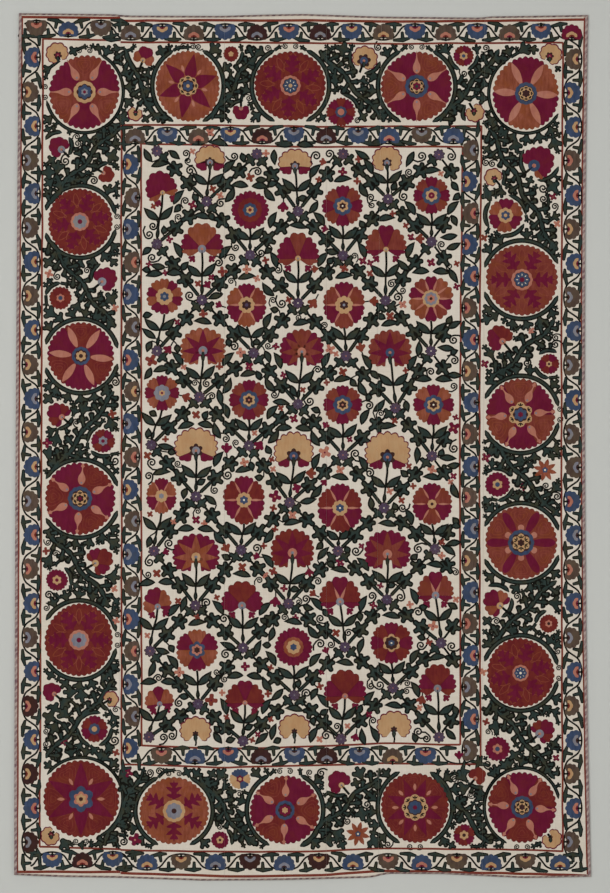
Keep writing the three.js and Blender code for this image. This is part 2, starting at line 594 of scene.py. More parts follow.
def wedge(inner, start, end, scallops, depth, reach=even_reach, notch=0.0):
    """Petal between two angles with a scalloped outer side, cut back by `notch` at its two corners."""
    outline = []
    steps = scallops * 4
    for k in range(steps + 1):
        share = k / steps
        angle = lerp(start, end, share)
        bump = abs(math.sin(math.pi * share * scallops))
        crown = 1 - notch * abs(2 * share - 1) ** 4
        outline.append(polar(reach(angle) * crown * (1 - depth * (1 - bump)), angle))
    inside = 4 if inner else 0
    for k in range(inside + 1):
        angle = lerp(end, start, k / max(inside, 1))
        outline.append(polar(inner * reach(angle), angle))
    return outline


def spindle(widths, bend=0.0):
    """Long shape from a table of half widths along its length."""
    right = [(width + bend * 4 * along * (1 - along), -along) for along, width in widths]
    left = [(-width + bend * 4 * along * (1 - along), -along) for along, width in reversed(widths)]
    return right + left


stitches = bmesh.new()
batches = {}
taken = numpy.zeros((20000, 3))  # circles that the embroidery fills already: column, row, radius
taken_count = [0]
greens = []  # points on stems and leaves, from which further leaves can grow


def take(x, y, radius):
    """Marks a circle of the paper as filled."""
    taken[taken_count[0]] = (x, y, radius)
    taken_count[0] += 1


def is_free(x, y, radius):
    """True where a circle would touch nothing that is filled."""
    circles = taken[:taken_count[0]]
    space = numpy.hypot(circles[:, 0] - x, circles[:, 1] - y) - circles[:, 2]
    return bool(numpy.all(space > radius))


def clear_paper():
    """Forgets the filled places, for the next part of the pattern."""
    taken_count[0] = 0
    greens.clear()


def patch(silk, outline, lift, rim=0.0):
    """A filled patch of laid stitches, with a black line of the width `rim` along its edge."""
    face = stitches.faces.new([stitches.verts.new((x, y, 0.02)) for x, y in outline])
    face.material_index = SILK_NUMBER[silk]
    face.normal_update()
    if face.normal.z < 0:
        face.normal_flip()
    batches.setdefault((lift, rim), []).append(face)


def ribbon(silk, path, width, lift, end_width=None, taper=0, base=0.02):
    """A line of chain stitch, highest along its middle; it narrows over `taper` points at each end."""
    end_width = width if end_width is None else end_width
    last = len(path) - 1
    rows = []
    for k, (x, y) in enumerate(path):
        x0, y0 = path[max(k - 1, 0)]
        x1, y1 = path[min(k + 1, last)]
        length = math.hypot(x1 - x0, y1 - y0) or 1
        half = lerp(width, end_width, k / last) / 2
        if taper:
            half *= min(1, (min(k, last - k) + 0.3) / taper)
        side_x = (y1 - y0) / length * half
        side_y = -(x1 - x0) / length * half
        rows.append([
            stitches.verts.new((x + side_x, y + side_y, base)),
            stitches.verts.new((x, y, lift)),
            stitches.verts.new((x - side_x, y - side_y, base)),
        ])
    for a, b in zip(rows, rows[1:]):
        for k in (0, 1):
            face = stitches.faces.new((a[k], b[k], b[k + 1], a[k + 1]))
            face.material_index = SILK_NUMBER[silk]


def stem(path, width, end_width=None, taper=0):
    """A green stem with black sides."""
    end_width = width if end_width is None else end_width
    ribbon("black", path, width, STEM_LIFT, end_width, taper)
    inner = 1 - 2 * STEM_SIDE / width
    ribbon("green", path, width * inner, STEM_LIFT * 2.6, end_width * inner, taper)
    for x, y in path:
        take(x, y, width / 2)
        greens.append((x, y))


def leaf(x, y, turn, size, lobes, waist, rim=SMALL_RIM):
    """A green lobed leaf with a black line round it."""
    outline = lobed(lobes, waist)
    if size > 4.5:
        outline = rounded(outline)
    patch("green", placed(outline, x, y, size, size, turn), leaf_lift(), rim)
    take(x, y, size * 0.66)
    greens.append((x, y))


def leaf_lift():
    """Leaves lie a little higher or lower, so that crossing ones don't share a plane."""
    return LEAF_LIFT + 0.025 * rng.randrange(7)


def ivy_leaf(x, y, turn, size):
    """A large leaf of the lattice, with a dark vein from its foot to its middle."""
    leaf(x, y, turn, size, IVY, 0.5, RIM)
    take(x, y, size * 0.8)
    dx, dy = polar(size * 0.6, turn + 180)
    vein = placed(spindle(BLADE), x + dx, y + dy, size * 0.22, size * 0.85, turn)
    patch("black", vein, DOT_LIFT)


def edged(profile, x, y, turn, length, half, bend=0.0, lift=None):
    """A green patch from its foot, on a wider black one that shows as a line round it."""
    lift = lift or leaf_lift()
    patch("black", placed(rounded(spindle(profile, bend)), x, y, half, length, turn), lift)
    inner = [(along, max(0.1, width - EDGE / half)) for along, width in profile]
    foot_x, foot_y = placed([(0, -1.4 * EDGE)], x, y, turn=turn)[0]
    green = placed(rounded(spindle(inner, bend)), foot_x, foot_y, half, length - 2.9 * EDGE, turn)
    patch("green", green, lift + 0.15)


def blade(x, y, turn, length, width, bend=0.0):
    """A long plain leaf from its foot."""
    edged(BLADE, x, y, turn, length, width / 2, bend)
    for share in (0.3, 0.65):
        dx, dy = polar(length * share, turn)
        take(x + dx, y + dy, width * 0.45)


def arm(x, y, turn, length, forked):
    """A thick side shoot of a border trunk with a blunt end, plain or with a shorter shoot on each side."""
    lift = leaf_lift()
    edged(SHOOT, x, y, turn, length, 3.3, 0, lift)
    if forked:
        fork_x, fork_y = placed([(0, -length * 0.5)], x, y, turn=turn)[0]
        for hand in (-1, 1):
            edged(SHOOT, fork_x, fork_y, turn + hand * 68, length * 0.46, 2.7, 0, lift)
    for share in (0.4, 0.78):
        dx, dy = polar(length * share, turn)
        take(x + dx, y + dy, length * 0.28)
    greens.append((x + dx, y + dy))


def curl(x, y, size, turn, hand, tail=2.2):
    """A black spiral tendril with a bent tail."""
    path = []
    for reach, back in ((tail, 75), ((1 + tail) / 2, 42), (1.15, 16)):
        dx, dy = polar(size * reach, turn - hand * back)
        path.append((x + dx, y + dy))
    for k in range(17):
        share = k / 16
        dx, dy = polar(size * (1 - share) ** 0.85 + 0.3, turn + hand * 560 * share)
        path.append((x + dx, y + dy))
    width = min(1.75, size * 0.45)
    ribbon("black", path, width, LINE_LIFT)
    take(x, y, size + 0.4)


def tiny_star(x, y, size):
    """A tiny flower of four round petals."""
    silk = rng.choice(("salmon", "madder", "madder", "crimson"))
    cross = placed(rounded(lobed(CROSS, 0.4)), x, y, size * 1.2, size * 1.2, rng.uniform(0, 90))
    patch(silk, cross, GROUND_LIFT)
    patch("crimson" if silk != "crimson" else "salmon",
          placed(blossom(5, 0, 1), x, y, size * 0.22, size * 0.22), PETAL_LIFT)
    take(x, y, size + 0.8)


def bud(x, y, size, turn):
    """A small bud of three lobes on a short stalk."""
    silk = rng.choice(("crimson", "crimson", "madder"))
    patch(silk, placed(rounded(lobed(CLUB, 0.55)), x, y, size, size, turn), GROUND_LIFT)
    ribbon("black", placed([(0, size * 0.6), (1, size * 1.7)], x, y, turn=turn), 1.4, LINE_LIFT)
    take(x, y, size + 0.6)


def rings(x, y, circles):
    """Rings and discs at the middle of a flower, the widest first: silk, radius, petals."""
    for k, (silk, radius, petals) in enumerate(circles):
        depth = 0.06 if petals > 9 else 0.13 if petals > 7 else 0.24
        outline = blossom(petals, depth, 4) if petals else blossom(10, 0, 1)
        patch(silk, placed(outline, x, y, radius, radius), RING_LIFT + RING_STEP * k)


def petals_round(x, y, width, height, letters, turn=0.0, scallops=4, depth=0.055, notch=0.0):
    """Petals of a round flower, one for each letter."""
    share = 360 / len(letters)
    for k, letter in enumerate(letters):
        start = turn + share * (k - 0.5)
        petal = wedge(0.2, start, start + share, scallops, depth, even_reach, notch)
        patch(SILK_LETTER[letter], uneven(placed(petal, x, y, width / 2, height / 2), x, y), PETAL_LIFT)


def figures_round(x, y, width, height, silk, shape, count, turn, inner, outer, half):
    """Figures that stand round the middle of a flower."""
    for k in range(count):
        outline = placed(rounded(spindle(shape)), 0, -inner, half, outer - inner)
        outline = placed(outline, 0, 0, turn=turn + 360 * k / count)
        patch(silk, placed(outline, x, y, width / 2, height / 2), FIGURE_LIFT)


# Figures of the large rosettes: silk, shape, number, inner and outer reach, half width
FIGURES = {
    "teardrop": ("salmon", TEARDROP, 6, 0.36, 0.99, 0.115),
    "tipped": ("salmon", TIPPED, 6, 0.38, 0.98, 0.115),
    "lance": ("salmon", BROAD, 6, 0.28, 0.95, 0.115),
    "ray": ("crimson", RAY, 6, 0.25, 0.92, 0.2),
    "palm": ("crimson", LANCE, 6, 0.3, 0.94, 0.085),
    "star": ("crimson", RAY, 6, 0.2, 0.95, 0.2),
    "points": ("crimson", RAY, 8, 0.2, 0.86, 0.17),
    "leaf": ("crimson", PETAL, 6, 0.3, 0.95, 0.125),
    "drop": ("salmon", PETAL, 6, 0.3, 0.5, 0.09),
    "bead": ("salmon", BEAD, 6, 0.42, 0.62, 0.05),
    "eight": ("salmon", BEAD, 8, 0.48, 0.68, 0.055),
}

# Fingers at the two sides of a palm figure: share of its length where they start, angle and length
FINGERS = ((0.12, 66, 0.25), (0.36, 52, 0.3), (0.62, 40, 0.2))

# Large rosettes of the border
LARGE_ROSETTES = table(
    "x y width height parts turn figures figure_turn centre",
    (84.6, 92, 71, 75, "mcmcmc", 0, ("teardrop",), 30,
     (("gold", 11.5, 10), ("plum", 8.4, 8), ("blue", 7.6, 6), ("slate", 3.8, 6), ("crimson", 1.8, 0))),
    (188, 86, 65, 71, "r", 0, ("ray", "bead"), 12,
     (("gold", 10.5, 8), ("plum", 6.8, 8), ("blue", 5.8, 6), ("gold", 2, 0))),
    (290.4, 85.7, 71, 71, "b", 0, ("palm",), 5,
     (("salmon", 10.5, 12), ("plum", 8.2, 8), ("blue", 7.5, 8), ("gold", 2.2, 0))),
    (416.7, 86.4, 71, 71, "mcmcmc", 30, ("teardrop",), 0,
     (("blue", 12, 12), ("plum", 8.6, 8), ("gold", 7.8, 6), ("crimson", 4.6, 6), ("green", 1.8, 0))),
    (526, 93.5, 68, 73, "crcrcr", 4, ("lance",), 33,
     (("blue", 11.5, 12), ("plum", 8.4, 8), ("gold", 7.7, 8), ("plum", 4.4, 6))),
    (80, 221.7, 66, 66, "b", 0, ("palm",), 20,
     (("salmon", 9.5, 12), ("slate", 7.4, 8), ("crimson", 2.6, 0))),
    (81, 356, 68, 68, "bcbcbc", 0, ("lance",), 36,
     (("blue", 9.5, 10), ("plum", 6.8, 8), ("gold", 5.6, 6), ("plum", 2.3, 0))),
    (80, 498.5, 72, 72, "bcbcbc", 35, ("tipped",), 5,
     (("blue", 12.5, 12), ("plum", 9.2, 8), ("gold", 8.4, 6), ("plum", 4.2, 6), ("crimson", 2, 0))),
    (79, 640, 69, 73, "b", 0, ("palm",), 30,
     (("salmon", 10.5, 12), ("slate", 8, 8), ("crimson", 2.7, 0))),
    (81, 799, 77, 77, "b", 0, ("star", "bead"), 0,
     (("blue", 13.5, 6), ("salmon", 8, 6), ("gold", 5.6, 6), ("plum", 2.5, 6))),
    (174, 811, 71, 67, "r", 0, ("palm",), 0,
     (("gold", 11.5, 12), ("slate", 8.5, 8), ("plum", 2.8, 0))),
    (285, 810, 70, 70, "cbcbcb", 30, ("tipped",), 2,
     (("blue", 10, 10), ("plum", 7.2, 8), ("crimson", 6.4, 6), ("gold", 3.4, 6))),
    (415, 807.5, 68, 71, "b", 0, ("points", "eight"), 22,
     (("gold", 13.5, 8), ("plum", 8.4, 8), ("blue", 7.2, 8), ("crimson", 2.4, 0))),
    (522, 807, 69, 72, "cbcbcb", 0, ("tipped",), 35,
     (("blue", 11.5, 12), ("plum", 8.4, 8), ("gold", 7.8, 6), ("plum", 3.4, 6))),
    (522, 279.7, 72, 72, "m", 0, ("palm",), 30,
     (("salmon", 11, 12), ("plum", 8.6, 8), ("blue", 8, 8), ("crimson", 2.7, 0))),
    (520.5, 414.5, 71, 71, "mcmcmc", 0, ("tipped",), 25,
     (("gold", 13, 6), ("plum", 8, 8), ("blue", 7, 6), ("crimson", 3, 6))),
    (521, 542.7, 73, 73, "m", 0, ("leaf", "drop"), 30,
     (("blue", 13.5, 12), ("plum", 10.4, 8), ("gold", 9.6, 6), ("plum", 4, 6))),
    (520.5, 673, 69, 69, "b", 0, ("palm",), 15,
     (("salmon", 8.5, 10), ("blue", 6.6, 8), ("cream", 1.5, 0))),
)


def cream_dots(row):
    """Cream drops round the innermost disc of a rosette."""
    radius = row.centre[-2][1]
    for k in range(8):
        dx, dy = polar(radius * 0.45, 45 * k)
        drop = placed(spindle(BEAD), row.x + dx, row.y + dy, radius * 0.08, radius * 0.34, 45 * k)
        patch("cream", drop, RING_LIFT + RING_STEP * len(row.centre))


def ring_marks(row):
    """Dark forked marks round the gold ring in the middle of a rosette."""
    for k, (silk, radius, petals) in enumerate(row.centre[:-1]):
        if silk != "gold" or radius < 7 or petals > 8:
            continue
        inner = row.centre[k + 1][1]
        length = 0.72 * (radius - inner)
        for number in range(petals):
            angle = 360 * number / petals
            dx, dy = polar(inner + 0.3, angle)
            for lean in (-50, 0, 50):
                mark = placed(spindle(BEAD), row.x + dx, row.y + dy, 0.85, length, angle + lean)
                patch("black", mark, RING_LIFT + RING_STEP * len(row.centre))


def palm_fingers(row, inner, outer):
    """Curved fingers at both sides of each palm figure of a rosette."""
    for k in range(6):
        for number, (start, angle, length) in enumerate(FINGERS):
            foot = -lerp(inner, outer, start)
            lift = FIGURE_LIFT + 0.03 * (number + 1)
            for hand in (-1, 1):
                finger = placed(spindle(BROAD, -hand * 0.5), 0, foot, 0.062, length, hand * angle)
                finger = placed(finger, 0, 0, turn=row.figure_turn + 60 * k)
                finger = placed(finger, row.x, row.y, row.width / 2, row.height / 2)
                patch("crimson", finger, lift + 0.015 * hand)


def contour(row):
    """Thin lighter lines that wind round the figures of a rosette, and a loop between each two of them."""
    path = []
    for k in range(145):
        angle = 2.5 * k
        wave = 0.7 + 0.19 * math.cos(math.radians(6 * angle)) + 0.03 * math.cos(math.radians(18 * angle))
        path.append(polar(wave, row.figure_turn + angle))
    lines = [path]
    for k in range(6):
        loop = placed(spindle(BEAD), 0, -0.44, 0.085, 0.42)
        lines.append(placed(loop + loop[:1], 0, 0, turn=row.figure_turn + 30 + 60 * k))
    for line in lines:
        line = placed(line, row.x, row.y, row.width / 2, row.height / 2)
        ribbon("copper", line, 1, PETAL_LIFT + 0.1, base=PETAL_LIFT - 0.05)


def nested_lines(row):
    """Rounds of lighter stitches, one inside the other, in the parts of a rosette that aren't crimson."""
    count = 6 if len(row.parts) == 1 else len(row.parts)
    turn = row.figure_turn + 30 if len(row.parts) == 1 else row.turn
    for k in range(count):
        if row.parts[k % len(row.parts)] == "c":
            continue
        middle = 0.72
        half = 150 / count
        for scale in (0.9, 0.6, 0.3):
            sides = ((-half * scale, middle + 0.1 * scale), (-half * scale * 0.6, middle + 0.25 * scale),
                     (0, middle + 0.18 * scale), (half * scale * 0.6, middle + 0.25 * scale),
                     (half * scale, middle + 0.1 * scale), (0, middle - 0.38 * scale))
            loop = rounded([polar(reach, turn + 360 * k / count + angle) for angle, reach in sides], passes=2)
            line = placed(loop + loop[:1], row.x, row.y, row.width / 2, row.height / 2)
            silk = "madder" if row.parts[k % len(row.parts)] == "b" else "copper"
            ribbon(silk, line, 0.9, PETAL_LIFT + 0.1, base=PETAL_LIFT - 0.05)


def foot_dots(row, count):
    """A small dot at the foot of each drop of a rosette."""
    for k in range(count):
        dx, dy = polar(0.44, row.figure_turn + 360 * k / count)
        dot_x = row.x + dx * row.width / 2
        dot_y = row.y + dy * row.height / 2
        patch("slate", placed(blossom(6, 0, 1), dot_x, dot_y, 1.3, 1.3), RING_LIFT)


def large_rosette(row):
    """A border rosette: a scalloped disc in parts, figures round it, and a ringed middle."""
    lobes = 38
    if len(row.parts) == 1:
        disc = placed(blossom(lobes, 0.045, 4), row.x, row.y, row.width / 2, row.height / 2)
        patch(SILK_LETTER[row.parts], uneven(disc, row.x, row.y), PETAL_LIFT)
    else:
        petals_round(row.x, row.y, row.width, row.height, row.parts, row.turn, lobes // len(row.parts))
    for k, name in enumerate(row.figures):
        silk, shape, count, inner, outer, half = FIGURES[name]
        turn = row.figure_turn + k * 180 / count
        figures_round(row.x, row.y, row.width, row.height, silk, shape, count, turn, inner, outer, half)
        if name in ("teardrop", "tipped"):
            foot_dots(row, count)
        if name == "palm":
            palm_fingers(row, inner, outer)
            contour(row)
            if row.centre[-2][0] == "blue":
                cream_dots(row)
    if "palm" not in row.figures:
        nested_lines(row)
    rings(row.x, row.y, row.centre)
    ring_marks(row)
    take(row.x, row.y, (row.width + row.height) / 4 + 2.6)


# Round flowers of the field
ROUND_FLOWERS = table(
    "x y width height petals lances centre",
    (250, 210, 39, 39, "cccccccc", 0,
     (("brick", 12.5, 12), ("blue", 7.5, 8), ("gold", 4.3, 6), ("brick", 2, 0))),
    (342.6, 206, 42, 42, "cmcmcmcm", 0,
     (("blue", 9.8, 8), ("gold", 6.4, 6), ("plum", 3.8, 6), ("cream", 1.1, 0))),
    (431.5, 195.5, 38, 38, "cmcmcmcm", 0,
     (("blue", 9.8, 8), ("gold", 6.6, 6), ("crimson", 3.5, 0), ("salmon", 1.1, 0))),
    (164.5, 296.5, 37, 37, "rcrcrccrcr", 0,
     (("gold", 9, 9), ("blue", 5, 6), ("slate", 1.8, 0))),
    (246.6, 305, 41, 45, "cmcrcr", 6,
     (("gold", 8.6, 9), ("plum", 5.2, 6), ("violet", 2, 0))),
    (344, 305, 44, 47, "cmcmcm", 6,
     (("gold", 9.4, 9), ("plum", 4.8, 6), ("slate", 1.6, 0))),
    (431, 298.7, 46, 46, "crrcmcrrcm", 10,
     (("gold", 9.2, 9), ("slate", 7, 8), ("salmon", 4.4, 6), ("plum", 1.8, 0))),
    (162, 393, 36, 36, "crcrcrcr", 0,
     (("slate", 8.6, 8), ("gold", 3.4, 6), ("crimson", 1.5, 0))),
    (249, 400, 41, 41, "cmcmcmcm", 0,
     (("blue", 10, 8), ("gold", 6.8, 6), ("plum", 4.2, 6), ("salmon", 1.3, 0))),
    (342.6, 404.8, 40, 40, "cmcmcmcm", 0,
     (("blue", 10, 8), ("gold", 6.4, 6), ("plum", 4.2, 6), ("salmon", 1.3, 0))),
    (433.5, 404.8, 42, 42, "crcrcrcr", 0,
     (("blue", 10.2, 8), ("gold", 7, 6), ("plum", 4.4, 6), ("cream", 1.2, 0))),
    (161.4, 496, 32, 36, "crcrcr", 6,
     (("gold", 6.6, 8), ("slate", 3, 6))),
    (244, 500, 44, 49, "cbcbcb", 6,
     (("gold", 8, 9), ("blue", 4.6, 6), ("cream", 1.2, 0))),
    (340, 508, 46, 50, "cbcbcb", 6,
     (("gold", 8.2, 9), ("blue", 4.6, 6), ("cream", 1.2, 0))),
    (432, 504, 42, 42, "cmcmcm", 6,
     (("gold", 4.8, 8), ("plum", 1.8, 0))),
    (197, 650, 43, 43, "rcrcrc", 0,
     (("blue", 9, 6), ("salmon", 6, 6), ("plum", 3.4, 6))),
    (293.5, 647, 39, 39, "cccccccc", 0,
     (("rust", 10.4, 12), ("gold", 7.4, 8), ("blue", 3.8, 6))),
    (391.5, 643, 43, 43, "cbcbcbcb", 0,
     (("gold", 9.4, 6), ("plum", 7, 8), ("blue", 3.6, 6), ("cream", 1.1, 0))),
)

# Reach of a half fan from its base, by angle, as a share of half its size
HALF_REACH = (
    (0, 1.5), (20, 1.42), (40, 1.22), (60, 1.1), (80, 1.03), (92, 1), (102, 0.95), (114, 0.82), (132, 0.64),
)
FIVE_SIDES = (-130, -92, -38, 38, 92, 130)  # sides of the petals of a half fan that has five

# Kinds of fan-shaped flowers: how low the base lies, the angle the flower opens to, half the slot for its
# stem, how far its petals are cut back at their corners, and, where the table above doesn't give the rim,
# how square its lower half is and where it is cut
FAN_KINDS = {
    "half": SimpleNamespace(drop=0.5, opens=130, slot=0, notch=0.05),
    "star": SimpleNamespace(drop=0.2, power=3.2, flat=0.92, opens=168, slot=0.15, notch=0),
    "shell": SimpleNamespace(drop=0.26, power=2.3, flat=0.84, opens=158, slot=0.17, notch=0),
    "open": SimpleNamespace(drop=0.3, power=2.3, flat=0.84, opens=140, slot=0.12, notch=0),
}

# Fan-shaped flowers of the field: petals from left to right, silk at the base, silk of the rays or lances
FANS = table(
    "kind x y width height petals base rays turn",
    ("half", 160, 185.5, 33, 31, "rcccccr", "gold", "", -20),
    ("half", 202, 240, 43, 36, "rcrcr", "slate", "", 0),
    ("half", 298, 249.5, 43, 36, "mccmccm", "gold", "", 0),
    ("half", 386, 241, 42, 34, "cmmcmmc", "gold", "", 0),
    ("star", 203, 346.7, 46, 39, "rrrrrrr", "slate", "crimson", 0),
    ("star", 301.8, 348, 45, 39, "cccmccc", "salmon", "madder", 0),
    ("star", 390, 348.7, 44, 39, "mmmmmmm", "blue", "crimson", 0),
    ("star", 196, 553, 48, 40, "ccccccc", "gold", "rust", 0),
    ("star", 292.4, 548.7, 44, 41, "bbbbbbb", "salmon", "crimson", 0),
    ("star", 387.5, 550, 47, 41, "ccccccc", "salmon", "madder", 0),
    ("half", 156.7, 600, 29, 27, "rrccrrc", "slate", "", -8),
    ("half", 242, 597, 42, 34, "ccbcc", "slate", "", 0),
    ("half", 340, 593, 42, 35, "cbbcbbc", "slate", "salmon", 0),
    ("half", 435.5, 587, 37, 33, "cmmcmmc", "slate", "salmon", 0),
    ("half", 159, 698, 30, 24, "crrcrrc", "slate", "", -6),
    ("half", 245, 695, 40, 31, "cbbcbbc", "salmon", "", 0),
    ("half", 345, 687, 43, 37, "bcbcb", "salmon", "", 0),
    ("half", 437.5, 680, 38, 34, "bcbcb", "slate", "", 0),
    ("shell", 210, 159, 30, 27, "cgggc", "slate", "", 0),
    ("shell", 295, 162.7, 33, 27, "cgggc", "slate", "", 0),
    ("shell", 387, 159.4, 29, 26, "ggggg", "slate", "", 0),
    ("shell", 196, 446, 43, 36, "cgggggc", "slate", "", 0),
    ("shell", 293.7, 451, 39, 38, "cgggggc", "blue", "", 0),
    ("shell", 387.5, 452, 45, 40, "cgggggc", "blue", "", 0),
    ("open", 195.5, 730, 31, 26, "ggggg", "plum", "", 0),
    ("open", 294.4, 727.4, 31, 26, "ggggg", "plum", "", 0),
    ("open", 394, 725.4, 34, 28, "ggggg", "plum", "", 0),
)

# Small flowers of the border: facing is the way that the flower opens
SMALL_FANS = table(
    "x y width petals base facing",
    (57, 53, 20, "ggg", "crimson", 340),
    (135, 114, 13, "ggg", "crimson", 200),
    (365, 58, 23, "ggggg", "blue", 20),
    (475, 113, 17, "ggg", "crimson", 150),
    (551, 54, 20, "ggg", "crimson", 30),
    (493, 177, 16, "ggg", "crimson", 320),
    (111, 699, 14, "ggg", "crimson", 60),
    (50, 836, 17, "ggg", "crimson", 220),
    (552, 839, 18, "ggg", "plum", 140),
    (144.6, 55.6, 20, "rcr", "gold", 20),
    (241, 112.5, 16, "ccc", "salmon", 180),
    (58, 146, 20, "cccc", "slate", 315),
    (107, 175, 16, "bbb", "salmon", 120),
    (106.5, 278, 23, "ccccc", "slate", 50),
    (57.6, 413.5, 23, "cbcbc", "salmon", 310),
    (101, 560, 26, "bcbcb", "gold", 60),
    (51, 691, 18, "ccc", "salmon", 310),
    (338, 781, 22, "ccccc", "gold", 320),
    (478, 775, 17, "bbb", "salmon", 40),
    (540, 160.7, 31, "ccccr", "blue", 50),
    (498.4, 336.6, 25, "ccbb", "salmon", 320),
    (495, 601.5, 26, "crcrc", "gold", 310),
    (544, 730, 23, "cbcbc", "slate", 50),
)
SMALL_ROUNDS = table(
    "x y width petals centre",
    (231, 54, 15, "bbbbb", (("gold", 3, 5),)),
    (341, 112, 28, "cbcbcbcb", (("blue", 6, 8), ("salmon", 3.6, 0))),
    (463.6, 56, 20, "cbcbcb", (("gold", 4.5, 6), ("blue", 2, 0))),
    (60.5, 298, 22, "bbbbbb", (("salmon", 4.5, 6), ("blue", 2.4, 0))),
    (103, 441, 23, "cbcbcb", (("slate", 5, 6), ("crimson", 2, 0))),
    (57, 580, 21, "cccccc", (("gold", 5, 6), ("crimson", 2, 0))),
    (94.4, 729, 26, "cbcbcb", (("blue", 6, 8), ("gold", 3, 0))),
    (220, 840, 17, "ccccc", (("gold", 4, 5), ("plum", 1.6, 0))),
    (464, 835, 21, "cbcbcb", (("gold", 5, 6), ("plum", 2, 0))),
    (505.5, 215.4, 33, "crcrcr", (("gold", 8, 8), ("blue", 5, 6), ("gold", 2, 0))),
    (549, 364, 20, "cbcbcb", (("gold", 3.4, 6), ("plum", 1.5, 0))),
    (497.4, 484.5, 24, "cccccc", (("gold", 5.5, 6), ("blue", 2.6, 0))),
    (548.7, 623.6, 18, "bbbbbb", (("salmon", 4, 6), ("plum", 1.8, 0))),
    (497.4, 748.8, 24, "cccccc", (("salmon", 5.5, 6), ("blue", 2.6, 0))),
    (240, 779, 20, "uguggu", (("crimson", 4, 6), ("gold", 2, 0))),
)
BURSTS = ((545, 470, 24, 23), (358, 834, 24, 25))  # column, row, width, height of a flower of pointed petals
TINY_STARS = table(
    "x y size",
    (49, 274, 4), (112, 414, 4), (47, 443, 4.5), (46, 551, 3.5), (114, 589, 3.5), (116, 621, 3.5),
    (64, 742, 3.5), (116, 753, 3.5), (115, 308, 3.5), (128, 772.7, 5), (135, 840, 6), (553, 197, 3.5),
    (557, 224, 3.5), (484, 238, 3.5), (531, 331, 3.5), (484.6, 364, 4), (485.7, 457.7, 4.5),
    (523, 487, 3.5), (483, 672, 3.5), (486, 722, 3.5), (556, 758, 3.5),
)


def slotted(points, half):
    """Keeps an outline clear of the slot that holds the stem, which widens below the base of a flower."""
    return [(math.copysign(max(abs(x), half * (1 + 0.6 * y)), x) if y > 0 else x, y) for x, y in points]


def half_reach(angle):
    return reading(HALF_REACH, abs(angle))


def fan(kind, x, y, width, height, letters, base, rays, turn, eye):
    """A fan-shaped flower: petals spread from a base below its middle, with an eye.

    Gives the place of the base.
    """
    form = FAN_KINDS[kind]
    wide = width / 2
    high = height / 2
    reach = half_reach if kind == "half" else fan_reach(form.drop, form.flat, form.power)
    drop = polar(-form.drop * high, turn)
    foot_x = x + drop[0]
    foot_y = y + drop[1]
    share = 2 * form.opens / len(letters)
    sides = [-form.opens + share * k for k in range(len(letters) + 1)]
    if kind == "half" and len(letters) == 5:
        sides = FIVE_SIDES
    lobe = 1450 / (width + height)  # angle of one scallop
    runs = []
    for letter, start, end in zip(letters, sides, sides[1:]):
        if runs and runs[-1][0] == letter:
            runs[-1][2] = end
        else:
            runs.append([letter, start, end])
    for letter, start, end in runs:
        petal = wedge(0.1, start, end, max(1, round((end - start) / lobe)), 0.1, reach, form.notch)
        petal = slotted(petal, form.slot)
        patch(SILK_LETTER[letter], placed(petal, foot_x, foot_y, wide, high, turn), PETAL_LIFT)
        if "g" in letters:
            patch("crimson", placed(petal, foot_x, foot_y, wide + 1, high + 1, turn), GROUND_LIFT)
    angles = ()
    half = 0.2
    length = 0.88
    if rays and kind == "star":
        angles = [46 * (k - 3) for k in range(7)]
    elif rays:
        angles = [start for _, start, _ in runs if abs(start) < 60]
        half = 0.085
        length = 0.6
    for angle in angles:
        ray = placed(rounded(spindle(RAY)), 0, -0.14, half, length * reach(angle) - 0.1)
        ray = slotted(placed(ray, 0, 0, turn=angle), form.slot)
        patch(rays, placed(ray, foot_x, foot_y, wide, high, turn), FIGURE_LIFT)
    if form.slot:
        length = height * 0.3
        for silk, bulb, lift in (("black", 2.2, RING_LIFT), ("green", 1.3, RING_LIFT + RING_STEP)):
            patch(silk, placed(spindle(BEAD), foot_x, foot_y + length, bulb, length), lift)
    if "g" in letters:
        star = eye * (1.75 if base != "plum" else 1.1)
        patch("plum", placed(blossom(6, 0.3, 4), foot_x, foot_y, star, star, turn), FIGURE_LIFT)
    if base != "plum":
        patch(base, placed(blossom(8, 0.05, 3), foot_x, foot_y, eye, eye, turn), RING_LIFT)
        patch("slate" if base in ("gold", "salmon") else "salmon",
              placed(blossom(6, 0, 1), foot_x, foot_y, eye * 0.4, eye * 0.4, turn), RING_LIFT + RING_STEP)
    take(x, y, (width + height) / 4 + 2)
    return foot_x, foot_y


FIELD = (143, 148, 460, 744)  # left, top, right, bottom of the field
LAST_VIOLETS = 425  # the lattice ends at the violets from this column on

# Violets, where the sides of the lattice meet: column and row
VIOLETS = [
    (157, 151), (157, 244), (157, 351), (151.3, 445), (154, 551), (150, 651), (149, 737),
    (206.7, 201.5), (202, 300), (199.6, 397), (196, 496.5), (195.5, 605.5), (198, 704),
    (257, 154), (250, 255), (253.6, 353), (249, 445.6), (241, 550), (243, 647.7), (243, 741),
    (298, 211.4), (298, 303), (298, 404), (289.7, 502.5), (288.4, 603.5), (294.4, 695),
    (343, 154), (343, 255.6), (346, 356), (343, 455), (338, 551), (345, 647), (341, 739),
    (388, 199), (385.5, 300.5), (395.5, 408), (384, 508), (387, 599.5), (393, 688),
    (439, 154.7), (431.5, 241.6), (431, 351), (432, 456), (435, 549), (441, 643), (439, 737),
]


